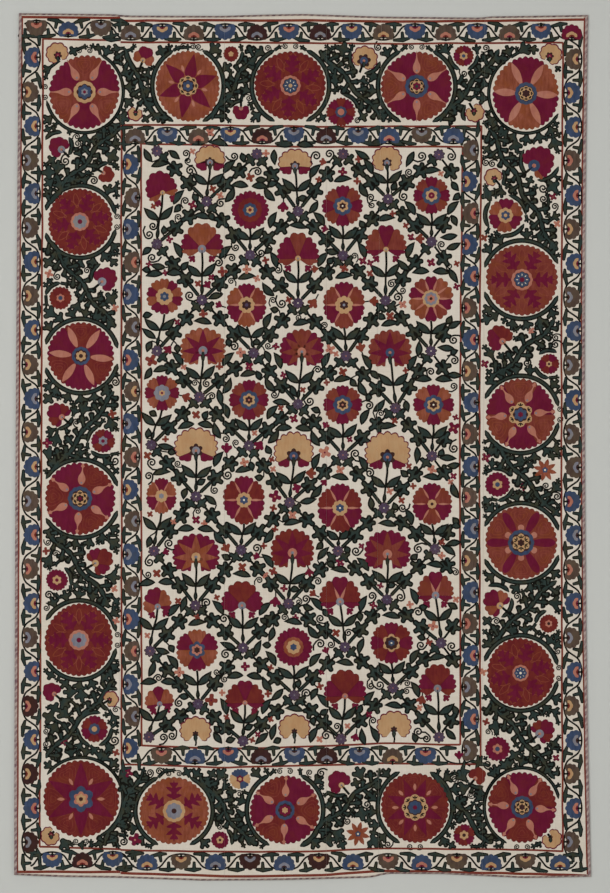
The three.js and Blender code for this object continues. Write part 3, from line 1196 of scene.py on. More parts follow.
def violet(x, y):
    """A small eight-petalled flower where the lattice crosses."""
    turn = rng.uniform(0, 45)
    patch("plum", placed(blossom(8, 0.25, 4), x, y, 6.2, 6.2, turn), GROUND_LIFT)
    patch("violet", placed(blossom(8, 0.25, 4), x, y, 5.5, 5.5, turn), PETAL_LIFT)
    for k in range(8):
        dx, dy = polar(2.9, turn + 45 * k + 22.5)
        patch("plum", placed(blossom(4, 0, 1), x + dx, y + dy, 0.7, 0.7), FIGURE_LIFT)
    patch(rng.choice(("salmon", "slate", "cream")), placed(blossom(6, 0, 1), x, y, 0.9, 0.9), FIGURE_LIFT)
    take(x, y, 6)


def lattice_side(low, high):
    """One side of the lattice, from a violet up to the next: thick stem, two ivy leaves and a cross leaf."""
    def at(share):
        return lerp(low[0], high[0], share), lerp(low[1], high[1], share)

    turn = heading(*low, *high)
    ribbon("black", [at(0.07), at(0.5), at(0.93)], 2.4, LINE_LIFT)
    stem([at(0.09), at(0.15), at(0.21), at(0.28)], 3.8)
    ivy_leaf(*at(0.36), turn + rng.uniform(-12, 12), 9.8)
    ivy_leaf(*at(0.655), turn + 180 + rng.uniform(-12, 12), 9.6)
    leaf(*at(0.875), turn + rng.uniform(-15, 15), 7.4, CROSS, 0.46)


def joined(low, high):
    """True for two violets that a side of the lattice joins, the second one above the first."""
    return 30 < abs(high[0] - low[0]) < 62 and 22 < low[1] - high[1] < 78


def lattice_end(x, y):
    """Leaves of the lattice that is cut off by the right side of the field."""
    for rise, turn in ((-16, 34), (16, 148)):
        leaf_x = x + 11.5
        if in_field(leaf_x, y + rise, 7) and is_free(leaf_x, y + rise, 3):
            ribbon("black", [(x + 3, y + rise * 0.3), (leaf_x, y + rise)], 2.2, LINE_LIFT)
            ivy_leaf(leaf_x, y + rise, turn, 9.6)


def foot_violet(x, y):
    """The violet below a flower of the field, if it has one."""
    for violet_x, violet_y in VIOLETS:
        if abs(violet_x - x) < 20 and 20 < violet_y - y < 75:
            return violet_x, violet_y
    return None


def under_flower(x, top, bottom, foot):
    """The stem from a flower to the violet below it, with a pair of leaves."""
    if foot is None:
        ribbon("black", [(x, top), (x + 0.6, bottom), (x, bottom + 3)], 1.8, LINE_LIFT)
        return
    foot_x, foot_y = foot
    room = foot_y - 5 - bottom
    joint_y = bottom + room * 0.5
    joint_x = lerp(x, foot_x, 0.6)
    ribbon("black", [(x, top), (lerp(x, joint_x, 0.4) + 0.6, lerp(top, joint_y, 0.5)), (joint_x, joint_y)],
           2.1, RING_LIFT + 2 * RING_STEP, base=PETAL_LIFT)
    ribbon("black", [(joint_x, joint_y), (foot_x, foot_y - 5)], 2, LINE_LIFT)
    up = heading(foot_x, foot_y - 5, joint_x, joint_y)
    edged(LANCE, foot_x, foot_y - 5, up, (foot_y - joint_y) * 0.6, 2.2)
    greens.append((joint_x, joint_y))
    for share in (0.2, 0.5, 0.8, 1):
        take(lerp(x, joint_x, share), lerp(top, joint_y, share), 2)
        take(lerp(joint_x, foot_x, share), lerp(joint_y, foot_y, share), 2)
    length = min(9 + room * 0.5, 20)
    for hand in (-1, 1):
        blade(joint_x, joint_y, hand * rng.uniform(44, 56), length, 9, hand * 0.25)


def in_field(x, y, reach):
    """True where a shape of that reach stays inside the field."""
    left, top, right, bottom = FIELD
    return left + reach < x < right - reach and top + reach < y < bottom - reach


def beside_flower(x, y, width, height):
    """Leaves that lie along the rim of a flower, and tendrils beside it, where there is room."""
    for angle in (58, 122, 238, 302):
        dx, dy = polar(1, angle + rng.uniform(-6, 6))
        middle_x = x + dx * (width / 2 + 6)
        middle_y = y + dy * (height / 2 + 6)
        hand = 1 if dx > 0 else -1
        turn = angle - hand * 90 + hand * rng.uniform(-10, 14)
        foot_x, foot_y = placed([(0, 7.8)], middle_x, middle_y, turn=turn)[0]
        along = [placed([(0, way)], middle_x, middle_y, turn=turn)[0] for way in (-6, 0, 6)]
        if all(in_field(*point, 2) and is_free(*point, 0.4) for point in along):
            blade(foot_x, foot_y, turn, 18.5, 8.8, -hand * 0.4)
    for hand in (-1, 1):
        curl_x = x + hand * (width / 2 + rng.uniform(7, 9))
        for curl_y in (y - height * 0.2, y + height * 0.5, y - height * 0.45):
            if in_field(curl_x, curl_y, 5) and is_free(curl_x, curl_y, 3) and rng.random() < 0.4:
                curl(curl_x, curl_y, 3.5, rng.uniform(0, 360), hand)
                break


def top_sprig(x, top, droop):
    """Two leaves that spread from the top of a flower, with a tiny flower between them, or one bent leaf."""
    if is_free(x, top - 12, 2.6):
        tiny_star(x, top - 13, 4.2)
    free = [is_free(x + hand * 10, top - 4, 1.6) for hand in (-1, 1)]
    if not all(free) and is_free(x, top - 6, 1):
        hand = rng.choice((-1, 1))
        blade(x - hand * 9, top - 3.4, hand * 82, 19, 8, -hand * 0.5)
        return
    for hand in (-1, 1):
        if is_free(x + hand * 10, top - 4, 1.6):
            blade(x + hand * 1.5, top - 4.2, hand * rng.uniform(droop - 8, droop + 6), 18, 8.6, -hand * 0.4)


def field_fans():
    """Fan-shaped flowers of the field, each with its stem, sprig and leaves."""
    for row in FANS:
        eye = row.height * (0.085 if row.kind == "half" and row.base != "slate" else 0.12)
        foot_x, foot_y = fan(
            row.kind, row.x, row.y, row.width, row.height, row.petals, row.base, row.rays, row.turn, eye)
        bottom = row.y + row.height / 2
        if row.kind == "half":
            for hand in (-1, 1):
                foot = rounded(lobed(CLUB, 0.5))
                foot = placed(foot, hand * row.width * 0.22, row.height / 2 + 0.4, 4.4, 4.4, 180 - hand * 40)
                patch("crimson", placed(foot, row.x, row.y, turn=row.turn), GROUND_LIFT)
        under_flower(foot_x, foot_y + 1, bottom, foot_violet(row.x, row.y))
        top_sprig(row.x, row.y - row.height / 2, 102)
        beside_flower(row.x, row.y, row.width, row.height)


def field_rounds():
    """Round flowers of the field, each with its stem, sprig, leaves and tiny flowers."""
    for row in ROUND_FLOWERS:
        count = len(row.petals)
        scallops = 4 if count == 6 else 3 if count == 8 else 2
        petals_round(row.x, row.y, row.width, row.height, row.petals, 0, scallops, 0.08, 0.07)
        if row.lances:
            figures_round(row.x, row.y, row.width, row.height, "salmon", LANCE, row.lances,
                          180 / count, 0.3, 0.9, 0.06)
        rings(row.x, row.y, row.centre)
        take(row.x, row.y, (row.width + row.height) / 4 + 2)
        bottom = row.y + row.height / 2
        top = row.y - row.height / 2
        under_flower(row.x, bottom - 1, bottom, foot_violet(row.x, row.y))
        top_sprig(row.x, top, 92)
        beside_flower(row.x, row.y, row.width, row.height)
        for hand in (-1, 1):
            star_x = row.x + hand * (row.width / 2 + 9)
            if in_field(star_x, row.y, 5) and is_free(star_x, row.y + row.height * 0.2, 2.6):
                tiny_star(star_x, row.y + row.height * 0.2, 4)


# Guard bands: flowers in a row along a line, each facing the other way from the one before. Each letter is
# the silk of a flower, and a point is a bud in its place
GUARDS = table(
    "run line swing first pitch silks facing",
    ("down", 31.2, 9, 57.6, 34.1, "bnbnbnbnbnbnbnbnbnbpbpbp", 270),
    ("down", 572.8, 9, 59, 34.05, "nbbnbnbnbnbnnbbnbnbnbnbn", 270),
    ("down", 131.3, 8, 164.7, 32.45, "bnbnbnbnbnbnbnbnbnb", 90),
    ("down", 470.2, 8, 150, 31.6, "nbnbbnbnbnbnbnbnbnbn", 270),
    ("across", 28.5, 8, 37, 31.7, "nbn", 180),
    ("across", 32, 8, 131, 31.5, "nbnbpbpbnbnbnbc", 0),
    ("across", 859.8, 8, 52, 30.5, "bpb", 180),
    ("across", 862, 8, 147, 34.4, "bnbpbpbnbnbnb", 0),
    ("across", 135.6, 8, 135, 31.8, "nbnbpbpbbnb", 0),
    ("across", 755.6, 8, 162, 33, "nbbpbpbnb.", 180),
)
GUARD_OUTER = (22, 20, 582, 871)  # left, top, right, bottom inside the outermost guard lines
GUARD_SILKS = {"b": "blue", "n": "brown", "p": "plum", "c": "crimson"}


def guard_flower(x, y, facing, silk):
    """A scalloped half flower of a guard band, with light and red half rings and a dark calyx at its base."""
    size = rng.uniform(0.97, 1.04)
    back = polar(5, facing + 180)
    foot_x = x + back[0]
    foot_y = y + back[1]
    take(x, y, 9)
    body = wedge(0.15, -122, 122, 9, 0.09, guard_reach)
    patch(silk, placed(body, foot_x, foot_y, size, size, facing), PETAL_LIFT)
    lights = ("salmon", "gold", "slate") if silk == "blue" else ("salmon", "gold", "slate", "slate")
    light = rng.choice(lights)
    half = wedge(0, -98, 98, 3, 0.1)
    patch(light, placed(half, foot_x, foot_y, 6, 5.4, facing), FIGURE_LIFT)
    inside = "plum" if light == "slate" else rng.choice(("brick", "crimson"))
    patch(inside, placed(half, foot_x, foot_y, 3.1, 2.3, facing), RING_LIFT)
    calyx_x, calyx_y = placed([(0, 1)], foot_x, foot_y, turn=facing)[0]
    calyx = placed(lobed(CORNER, 0.3), calyx_x, calyx_y, 2.9, 2.2, facing)
    patch("black", calyx, RING_LIFT + 2 * RING_STEP)
    path = placed([(0, 0), (0, 4)], foot_x, foot_y, turn=facing)
    ribbon("black", path, 1.8, RING_LIFT + 2 * RING_STEP, base=PETAL_LIFT)


def on_guard(x, y):
    """True inside the outermost guard lines."""
    left, top, right, bottom = GUARD_OUTER
    return left < x < right and top < y < bottom


def guard_band(row):
    """Flowers along a vine that winds past their bases, with corner leaves in the free spaces."""
    def at(along, side):
        return (row.line + side, along) if row.run == "down" else (along, row.line + side)

    facing = row.facing
    first_side = 1 if facing in (270, 0) else -1
    path = []
    for k in range(-7, 10 * len(row.silks) - 4):
        swing = math.cos(math.pi * k / 10)
        side = first_side * math.copysign(abs(swing) ** 0.5 * row.swing, swing)
        path.append(at(row.first + row.pitch * k / 10, side))
    path = [point for point in path if on_guard(*point)]
    ribbon("black", rounded(path, closed=False), 1.8, LINE_LIFT)
    for number, letter in enumerate(row.silks):
        along = row.first + row.pitch * number
        side = first_side if number % 2 == 0 else -first_side
        if letter == ".":
            bud(*at(along, 0), 5, facing)
        else:
            place = at(along + rng.uniform(-0.6, 0.6), rng.uniform(-0.4, 0.4))
            guard_flower(*place, facing, GUARD_SILKS[letter])
        spaces = [(0.37, -side), (0.63, side)]
        if number == 0:
            spaces += [(-0.37, -side), (-0.63, side)]
        for share, hand in spaces:
            x, y = at(along + row.pitch * share, hand * 7.6)
            inward = heading(*at(0, hand), *at(0, 0))
            if on_guard(x, y) and is_free(x, y, 1):
                boot = placed(lobed(CORNER, 0.33), 0, 0, wide=8.8 * rng.choice((-1, 1)), high=8.6)
                patch("green", placed(boot, x, y, turn=inward + rng.uniform(-14, 14)), leaf_lift(), 1)
        facing = (facing + 180) % 360


# Guard lines across: rows at the left end, both sides of the first seam, the other seams and the right end
SEAM_COLUMNS = (120.5, 224.5, 326.4, 380, 483.5)
ACROSS_LINES = table(
    "left right width start before after second third fourth fifth end",
    (19, 587.5, 2.6, 17, 18, 20.8, 20.5, 20.4, 21.8, 21, 19.8),
    (43, 563, 2, 38.8, 40.5, 42.2, 42.5, 43.2, 43.8, 43, 42.5),
    (121.3, 481.5, 2, 125, 125, 125, 125.5, 126.6, 126.2, 126, 126),
    (141, 462.7, 2, 143.6, 143.6, 143.6, 145.5, 147, 146.8, 146.6, 146.6),
    (141.5, 460.5, 2, 745.5, 745.5, 745.5, 748.8, 746, 743.4, 744.8, 744.8),
    (121.4, 480.4, 2, 764.5, 764.5, 764.5, 767.5, 765, 763.5, 764, 764),
    (40, 562.7, 2, 846.5, 849, 850, 852, 851, 848.5, 849, 851),
    (17, 586.5, 2.6, 871.6, 872, 873, 876.5, 875, 871, 872.5, 875.6),
)

# Guard lines down: column and row at the top, near the middle and at the bottom
DOWN_LINES = (
    ((43, 38.5), (41.5, 400), (39.8, 847)),
    ((121.3, 125), (121.6, 440), (121.4, 765)),
    ((141, 143.5), (141.2, 440), (141.5, 746)),
    ((462.7, 146.6), (459.4, 420), (460.5, 745)),
    ((481.5, 126), (479, 420), (480.4, 764.5)),
    ((563, 42.5), (561, 400), (562.7, 851.5)),
)
DOWN_WIDTH = 2
EDGE_WIDTH = 2.2  # guard line beside the edge tape


def hand_drawn(path):
    """A line that wavers a little, as it is drawn by hand."""
    drawn = [path[0]]
    for (x0, y0), (x1, y1) in zip(path, path[1:]):
        steps = max(1, round(math.hypot(x1 - x0, y1 - y0) / 16))
        for k in range(1, steps + 1):
            x = lerp(x0, x1, k / steps) + rng.uniform(-0.35, 0.35)
            y = lerp(y0, y1, k / steps) + rng.uniform(-0.35, 0.35)
            drawn.append((x, y))
    return rounded(drawn, closed=False)


def guard_lines():
    """The madder lines on both sides of each guard band."""
    for row in ACROSS_LINES:
        first, second, third, fourth, fifth = SEAM_COLUMNS
        if row.left < first:
            left_part = [(row.left, row.start), (first, row.before)]
            ribbon("madder", hand_drawn(left_part), row.width, LINE_LIFT)
        begin = max(row.left, first)
        path = [(begin, row.after), (second, row.second), (third, row.third), (fourth, row.fourth)]
        if row.right > fifth:
            path.append((fifth, row.fifth))
        path.append((row.right, row.end))
        ribbon("madder", hand_drawn(path), row.width, LINE_LIFT)
    for path in DOWN_LINES:
        ribbon("madder", hand_drawn(rounded(list(path), closed=False, passes=2)), DOWN_WIDTH, LINE_LIFT)
    for line, inset, start, end in ((LINES[0], 3.2, 0.004, 0.994), (LINES[-1], -3.2, 0.004, 0.996)):
        path = []
        for k in range(13):
            share = lerp(start, end, k / 12)
            column = MIDDLE_COLUMN + line_at(line, share) / SQUARE + inset
            path.append((column, TOP_ROW + share * DROP / SQUARE))
        ribbon("madder", hand_drawn(path), EDGE_WIDTH, LINE_LIFT)


# Border greenery: trunks between the rosettes, by their two ends
TRUNKS = (
    ((47, 204), (116, 128)), ((47, 240), (115, 328)), ((50, 475), (115, 392)), ((48, 530), (110, 604)),
    ((46, 758), (116, 680)), ((488, 128), (556, 250)), ((487, 385), (556, 320)), ((490, 440), (556, 515)),
    ((488, 645), (556, 580)), ((490, 700), (556, 778)), ((125, 48), (155, 120)), ((212, 120), (258, 48)),
    ((320, 50), (385, 122)), ((440, 122), (500, 50)), ((104, 846), (140, 775)), ((200, 775), (250, 846)),
    ((300, 846), (378, 776)), ((430, 772), (490, 845)),
)
BORDER_OUTER = (43.5, 44, 561, 848.5)  # left, top, right, bottom of the border
BORDER_INNER = (119.5, 123.5, 482.5, 768)
HALO = 1.5  # bare cotton round each border flower


def in_border(x, y, reach):
    """True where a shape of that reach stays inside the border."""
    left, top, right, bottom = BORDER_OUTER
    if not (left + reach < x < right - reach and top + reach < y < bottom - reach):
        return False
    left, top, right, bottom = BORDER_INNER
    return not (left - reach < x < right + reach and top - reach < y < bottom + reach)


def clear_of_flowers(x, y, reach):
    """True where a leaf would not touch a flower of the border."""
    for row in LARGE_ROSETTES:
        if math.hypot(x - row.x, y - row.y) < (row.width + row.height) / 4 + reach + HALO:
            return False
    for row in SMALL_FANS + SMALL_ROUNDS:
        if math.hypot(x - row.x, y - row.y) < row.width / 2 + reach + HALO:
            return False
    return True


def border_leaf(x, y, turn, size):
    """A lobed leaf of the border, where it leaves the flowers free."""
    reach = size * 0.66
    if in_border(x, y, reach) and clear_of_flowers(x, y, reach):
        leaf(x, y, turn, size, rng.choice((CLUB, CLUB, HOOK)), 0.48)


def collar(row, start, end):
    """A green arc round part of a rosette, with lobed leaves on its outer side."""
    left, top, right, bottom = BORDER_OUTER
    path = []
    steps = round((end - start) / 6)
    for k in range(steps + 1):
        dx, dy = polar(1, lerp(start, end, k / steps))
        x = min(max(row.x + dx * (row.width / 2 + 3.3), left + 2.6), right - 2.6)
        y = min(max(row.y + dy * (row.height / 2 + 3.3), top + 2.6), bottom - 2.6)
        if in_border(x, y, 1.5) and math.hypot((x - row.x) / row.width, (y - row.y) / row.height) > 0.535:
            path.append((x, y))
    if len(path) < 4:
        return
    left, top, right, bottom = BORDER_INNER
    at_corner = not left < row.x < right and not top < row.y < bottom
    stem(path, 3.6 if at_corner else 5, taper=1.2)
    for x, y in path[1::3]:
        turn = heading(row.x, row.y, x, y)
        dx, dy = polar(5.8, turn)
        border_leaf(x + dx, y + dy, turn + rng.uniform(-20, 20), 7.2)


def horns(x, y, radius):
    """Curved green horns that frame a small flower of the border, with short shoots on their outer side."""
    begin = rng.uniform(0, 360)
    for k in range(3):
        start = begin + 120 * k + rng.uniform(-20, 20)
        path = []
        for step in range(9):
            dx, dy = polar(radius + HALO + 2.4, start + step * 10)
            path.append((x + dx, y + dy))
        if all(in_border(*point, 2) and is_free(*point, 0.6) for point in path):
            stem(path, 5, taper=1.6)
            out = start + 50 + rng.uniform(-20, 20)
            tip = placed([(0, -8)], *path[5], turn=out)[0]
            if in_border(*tip, 1) and clear_of_flowers(*tip, 1):
                edged(SHOOT, *path[5], out, 8, 2.8)


def side_curls(row):
    """Tendrils in the narrow spaces between a rosette and the guard lines, side by side along the line."""
    for turn in (0, 90, 180, 270):
        dx, dy = polar(1, turn)
        reach_x = row.width / 2 + 3.9
        reach_y = row.height / 2 + 3.9
        for hand in (-1, 1):
            x = row.x + dx * reach_x + hand * dy * 5
            y = row.y + dy * reach_y - hand * dx * 5
            beyond = (row.x + dx * (reach_x + 9), row.y + dy * (reach_y + 9))
            if in_border(x, y, 1) and not in_border(*beyond, 0):
                curl(x, y, 2.5, turn - hand * 30, -hand, 1.5)


def collars():
    """Collars on the sides of each rosette that face its neighbours in the border."""
    left, top, right, bottom = BORDER_INNER
    for row in LARGE_ROSETTES:
        side_curls(row)
        if not left < row.x < right:
            if row.y > top:
                collar(row, -78, 78)
            if row.y < bottom:
                collar(row, 102, 258)
        if not top < row.y < bottom:
            if row.x < right:
                collar(row, 24, 156)
            if row.x > left:
                collar(row, 204, 336)


def trunk(start, end):
    """A thick winding stem across the border, with pairs of blunt shoots along it, some of them forked."""
    length = math.hypot(end[0] - start[0], end[1] - start[1])
    turn = heading(*start, *end)
    bow = rng.choice((-1, 1)) * rng.uniform(1.4, 2.4)
    steps = max(8, round(length / 3.4))
    path = []
    for k in range(steps + 1):
        share = k / steps
        dx, dy = polar(bow * math.sin(2 * math.pi * share * length / 44), turn + 90)
        path.append((lerp(start[0], end[0], share) + dx, lerp(start[1], end[1], share) + dy))
    path = [(x, y) for x, y in path if clear_of_flowers(x, y, 1) and in_border(x, y, 1)]
    if len(path) < 4:
        return
    stem(path, 6.2, taper=1.5)
    for number, ((x, y), (next_x, next_y)) in enumerate(zip(path[1::3], path[2::3])):
        along = heading(x, y, next_x, next_y)
        for hand in (-1, 1):
            out = along + hand * rng.uniform(56, 70)
            for size in ((14.5, 10) if (number + (hand > 0)) % 2 else (10,)):
                tip_x, tip_y = placed([(0, -size * 0.8)], x, y, turn=out)[0]
                if in_border(tip_x, tip_y, size * 0.2) and clear_of_flowers(tip_x, tip_y, size * 0.2):
                    arm(x, y, out, size, size > 12)
                    break
    ribbon("green", path, 3.4, DOT_LIFT, taper=1.5)


def off_rosettes(x, y):
    """True where a point lies clear of every large rosette."""
    for row in LARGE_ROSETTES:
        if math.hypot((x - row.x) / (row.width / 2 + 2), (y - row.y) / (row.height / 2 + 2)) <= 1:
            return False
    return True


def small_border_flowers():
    """Small fans, round flowers, tiny stars and flowers of pointed petals between the rosettes."""
    for row in SMALL_FANS:
        kind = "shell" if "g" in row.petals else "half"
        eye = row.width * (0.14 if kind == "half" else 0.13)
        if row.base in ("slate", "blue"):
            eye *= 1.4
        foot_x, foot_y = fan(
            kind, row.x, row.y, row.width * 1.08, row.width, row.petals, row.base, "", row.facing, eye)
        for share in (0.55, 0.45, 0.35, 0.25):
            tail = polar(row.width * share, row.facing + 180)
            path = [(foot_x, foot_y), (foot_x + tail[0], foot_y + tail[1])]
            if off_rosettes(*path[1]):
                break
        ribbon("black", path, 2.4, RING_LIFT + 2 * RING_STEP, base=PETAL_LIFT)
        greens.append(path[1])
    for row in SMALL_ROUNDS:
        width = row.width * 1.06
        petals_round(row.x, row.y, width, width, row.petals, rng.uniform(0, 60), 3, 0.09, 0.04)
        rings(row.x, row.y, row.centre)
        take(row.x, row.y, row.width / 2 + HALO)
    for row in TINY_STARS:
        tiny_star(row.x, row.y, row.size)
    for x, y, width, height in BURSTS:
        figures_round(x, y, width, height, "rust", BROAD, 8, 15, 0.05, 1, 0.2)
        rings(x, y, (("blue", 3.2, 5), ("cream", 1.2, 0)))
        take(x, y, width / 2 + 1)


def fill_border():
    """Leaves that grow from the nearest stem, and tendrils, in the places that are still bare."""
    left, top, right, bottom = BORDER_OUTER
    for size, curl_share in ((8.2, 0), (7, 0.15), (6, 0.4), (5.2, 0.5), (4.4, 0.3), (3.6, 0), (3, 0)):
        for _ in range(30000):
            x = rng.uniform(left, right)
            y = rng.uniform(top, bottom)
            if not in_border(x, y, size * 0.62) or not is_free(x, y, size * 0.52):
                continue
            if not clear_of_flowers(x, y, size * 0.8 - 1):
                continue
            if rng.random() < curl_share:
                curl(x, y, size * 0.62, rng.uniform(0, 360), rng.choice((-1, 1)), 1.9)
                continue
            root_x, root_y = min(greens, key=lambda point: math.hypot(point[0] - x, point[1] - y))
            turn = heading(root_x, root_y, x, y)
            if math.hypot(root_x - x, root_y - y) < 16:
                path = [(root_x, root_y), (lerp(root_x, x, 0.5), lerp(root_y, y, 0.5)), (x, y)]
                if clear_of_flowers(*path[1], 0.5):
                    stem(path, 3.6)
            leaf(x, y, turn, size, rng.choice((CLUB, HOOK, CROSS)), 0.5, 1.2 if size > 4 else 0.9)


def stalk(x, y):
    """A thin stalk from a loose leaf to the nearest green of the field, where no flower is in the way."""
    root_x, root_y = min(greens, key=lambda point: math.hypot(point[0] - x, point[1] - y))
    middle_x = lerp(root_x, x, 0.5) + rng.uniform(-1.2, 1.2)
    middle_y = lerp(root_y, y, 0.5) + rng.uniform(-1.2, 1.2)
    for row in FANS + ROUND_FLOWERS:
        if math.hypot(middle_x - row.x, middle_y - row.y) < (row.width + row.height) / 4:
            return
    if math.hypot(root_x - x, root_y - y) < 15:
        ribbon("black", [(root_x, root_y), (middle_x, middle_y), (x, y)], 1.4, LINE_LIFT)


def fill_field():
    """Tendrils, tiny flowers, buds and leaves on thin stalks in the bare places of the field."""
    left, top, right, bottom = FIELD
    for size in (6, 5.4, 4.8, 4.2, 3.6, 3.2):
        for _ in range(9000):
            x = rng.uniform(left, right)
            y = rng.uniform(top, bottom)
            if not in_field(x, y, size) or not is_free(x, y, size * 0.72):
                continue
            pick = rng.random()
            turn = rng.uniform(0, 360)
            dx, dy = polar(size * 1.3, turn)
            if pick < 0.28 and size > 4:
                curl(x, y, size * 0.72, turn, rng.choice((-1, 1)))
            elif pick < 0.32:
                tiny_star(x, y, size * 0.95)
            elif pick < 0.38 and size > 4:
                bud(x, y, size, turn)
            elif is_free(x - dx, y - dy, 0) and is_free(x + dx, y + dy, 0):
                stalk(x - dx, y - dy)
                blade(x - dx, y - dy, turn, size * 3, 8, rng.uniform(-0.35, 0.35))


def shape_patches():
    """Raises every patch from its outline, and gives the leaves their black line."""
    black = SILK_NUMBER["black"]
    for (lift, rim), faces in batches.items():
        edge = bmesh.ops.inset_individual(
            stitches, faces=faces, thickness=rim or SLOPE, depth=lift, use_even_offset=True)["faces"]
        if rim:
            for face in edge:
                face.material_index = black


def whole(faces):
    """Faces with their corners and edges, each once and always in the same order."""
    items = dict.fromkeys(faces)
    for face in faces:
        items.update(dict.fromkeys(face.verts))
        items.update(dict.fromkeys(face.edges))
    return list(items)


def cut_columns():
    """Cuts wide patches in columns, so that they bend with the cloth."""
    wide = []
    for face in stitches.faces:
        columns = [vert.co.x for vert in face.verts]
        if max(columns) - min(columns) > COLUMN_CUT:
            wide.append(face)
    geometry = whole(wide)
    for column in range(COLUMN_CUT, PAPER_WIDTH, COLUMN_CUT):
        geometry = bmesh.ops.bisect_plane(
            stitches, geom=geometry, dist=CUT_MERGE, plane_co=(column, 0, 0), plane_no=(1, 0, 0))["geom"]


def cut_seams():
    """Parts the stitches along each seam, where the loom widths meet, in two straight runs."""
    height = DROP / SQUARE
    for line in LINES[1:-1]:
        for first, last in ((0, 0.5), (0.5, 1)):
            top = Vector((MIDDLE_COLUMN + line_at(line, first) / SQUARE, TOP_ROW + height * first, 0))
            bottom = Vector((MIDDLE_COLUMN + line_at(line, last) / SQUARE, TOP_ROW + height * last, 0))
            across = Vector((bottom.y - top.y, top.x - bottom.x, 0)).normalized()
            faces = []
            for face in stitches.faces:
                row = (face.calc_center_median().y - TOP_ROW) / height
                if (row < 0.5) == (first == 0):
                    faces.append(face)
            cut = bmesh.ops.bisect_plane(
                stitches, geom=whole(faces), dist=CUT_MERGE, plane_co=top, plane_no=across)["geom_cut"]
            edges = [item for item in cut if isinstance(item, bmesh.types.BMEdge)]
            parted = bmesh.ops.split_edges(stitches, edges=edges)["edges"]
            for vert in dict.fromkeys(vert for edge in parted for vert in edge.verts):
                if vert.link_faces:
                    side = (vert.link_faces[0].calc_center_median() - top).dot(across)
                    vert.co += across * math.copysign(SEAM_SLIT, side)


def lay_on_cloth():
    """Takes the stitches from the squared paper to the front of the cloth."""
    for vert in stitches.verts:
        column, row, lift = vert.co
        vert.co = cloth_point((column - MIDDLE_COLUMN) * SQUARE, (TOP_ROW - row) * SQUARE, SHEET / 2 + lift)
    bmesh.ops.reverse_faces(stitches, faces=stitches.faces[:])


# Flat map of the front: its size in metres, and the share of its height where the top edge lies
MAP_WIDTH = 1.64
MAP_HEIGHT = 2.45
MAP_TOP = 0.998


def silk_pieces():
    """One piece for each silk, with a flat map of the front for its dye."""
    pieces = []
    for silk in SILKS:
        number = SILK_NUMBER[silk.name]
        bm = stitches.copy()
        others = [face for face in bm.faces if face.material_index != number]
        bmesh.ops.delete(bm, geom=others, context="FACES")
        front = bm.loops.layers.uv.new("OFBake")
        for face in bm.faces:
            face.material_index = 0
            face.smooth = False
            for loop in face.loops:
                loop[front].uv = (0.5 + loop.vert.co.x / MAP_WIDTH, MAP_TOP + loop.vert.co.z / MAP_HEIGHT)
        piece = new_piece("silk_" + silk.name, bm, silk_material(silk))
        pieces.append(piece)
    return pieces


# Guard bands
guard_lines()
for row in GUARDS:
    guard_band(row)

# Border
clear_paper()
for row in LARGE_ROSETTES:
    large_rosette(row)
small_border_flowers()
collars()
for row in SMALL_FANS + SMALL_ROUNDS:
    horns(row.x, row.y, row.width / 2)
for start, end in TRUNKS:
    trunk(start, end)
fill_border()

# Field
clear_paper()
for x, y in VIOLETS:
    violet(x, y)
for row in FANS + ROUND_FLOWERS:
    take(row.x, row.y, (row.width + row.height) / 4)
for low in VIOLETS:
    for high in VIOLETS:
        if joined(low, high):
            lattice_side(low, high)
    if low[0] > LAST_VIOLETS:
        lattice_end(*low)
field_fans()
field_rounds()
fill_field()

# Stitches on the cloth
shape_patches()
cut_columns()
cut_seams()
lay_on_cloth()
silks = silk_pieces()
stitches.free()

# Cotton widths. Their weave map is 1 across, so that a darker line of painted shade can follow each selvedge
cotton = cotton_material()
cotton_map = (1, DROP / 1000)
for number in range(len(LINES) - 1):
    piece = cloth_piece(
        "cotton_panel_%d" % (number + 1), 12, 72, panel_place(number), cotton, cotton_map, SHEET)
    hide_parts("panel_%d" % (number + 1))

# Edge tapes, by their cut size in metres
side_tape = tape_material("side_edge_tape", "#6B5156", "#97857F", "#B9ABA0", 0.45)
end_tape = tape_material("end_edge_tape", "#5A4346", "#7F6A67", "#A59788", 0.55)
side_cut = (0.018, DROP / 1000)
end_cut = (1.59, 0.012)
tapes = table(
    "name columns rows place cut material",
    ("left", 12, 72, side_tape_place(LINES[0], 1), side_cut, side_tape),
    ("right", 12, 72, side_tape_place(LINES[-1], -1), side_cut, side_tape),
    ("top", 72, 10, end_tape_place(TOP_EDGE, 0, -1), end_cut, end_tape),
    ("bottom", 72, 10, end_tape_place(BOTTOM_EDGE, 1, 1), end_cut, end_tape),
)
for tape in tapes:
    piece = cloth_piece(
        "edge_tape_" + tape.name, tape.columns, tape.rows, tape.place, tape.material, tape.cut, TAPE)
    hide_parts("binding_" + tape.name)


# Studio
def stage_plane(name, material, corners, shades=True):
    """A plane of the studio; `shades` says whether it holds light back."""
    bm = bmesh.new()
    bm.faces.new([bm.verts.new(corner) for corner in corners])
    mesh = bpy.data.meshes.new(name)
    bm.to_mesh(mesh)
    bm.free()
    mesh.materials.append(material)
    stage = bpy.data.objects.new(name, mesh)
    stage.visible_shadow = shades
    bpy.context.collection.objects.link(stage)


FLOOR_Z = -2.75
FLOOR_REACH = 9
BACK_Y = 0.009
BACK_REACH = 3
BACK_TOP = 1.2
floor_paper, _, _ = plain_material("pale_floor_paper", "#C9C9C5")
stage_plane("floor", floor_paper, (
    (-FLOOR_REACH, -FLOOR_REACH, FLOOR_Z), (FLOOR_REACH, -FLOOR_REACH, FLOOR_Z),
    (FLOOR_REACH, FLOOR_REACH, FLOOR_Z), (-FLOOR_REACH, FLOOR_REACH, FLOOR_Z)))

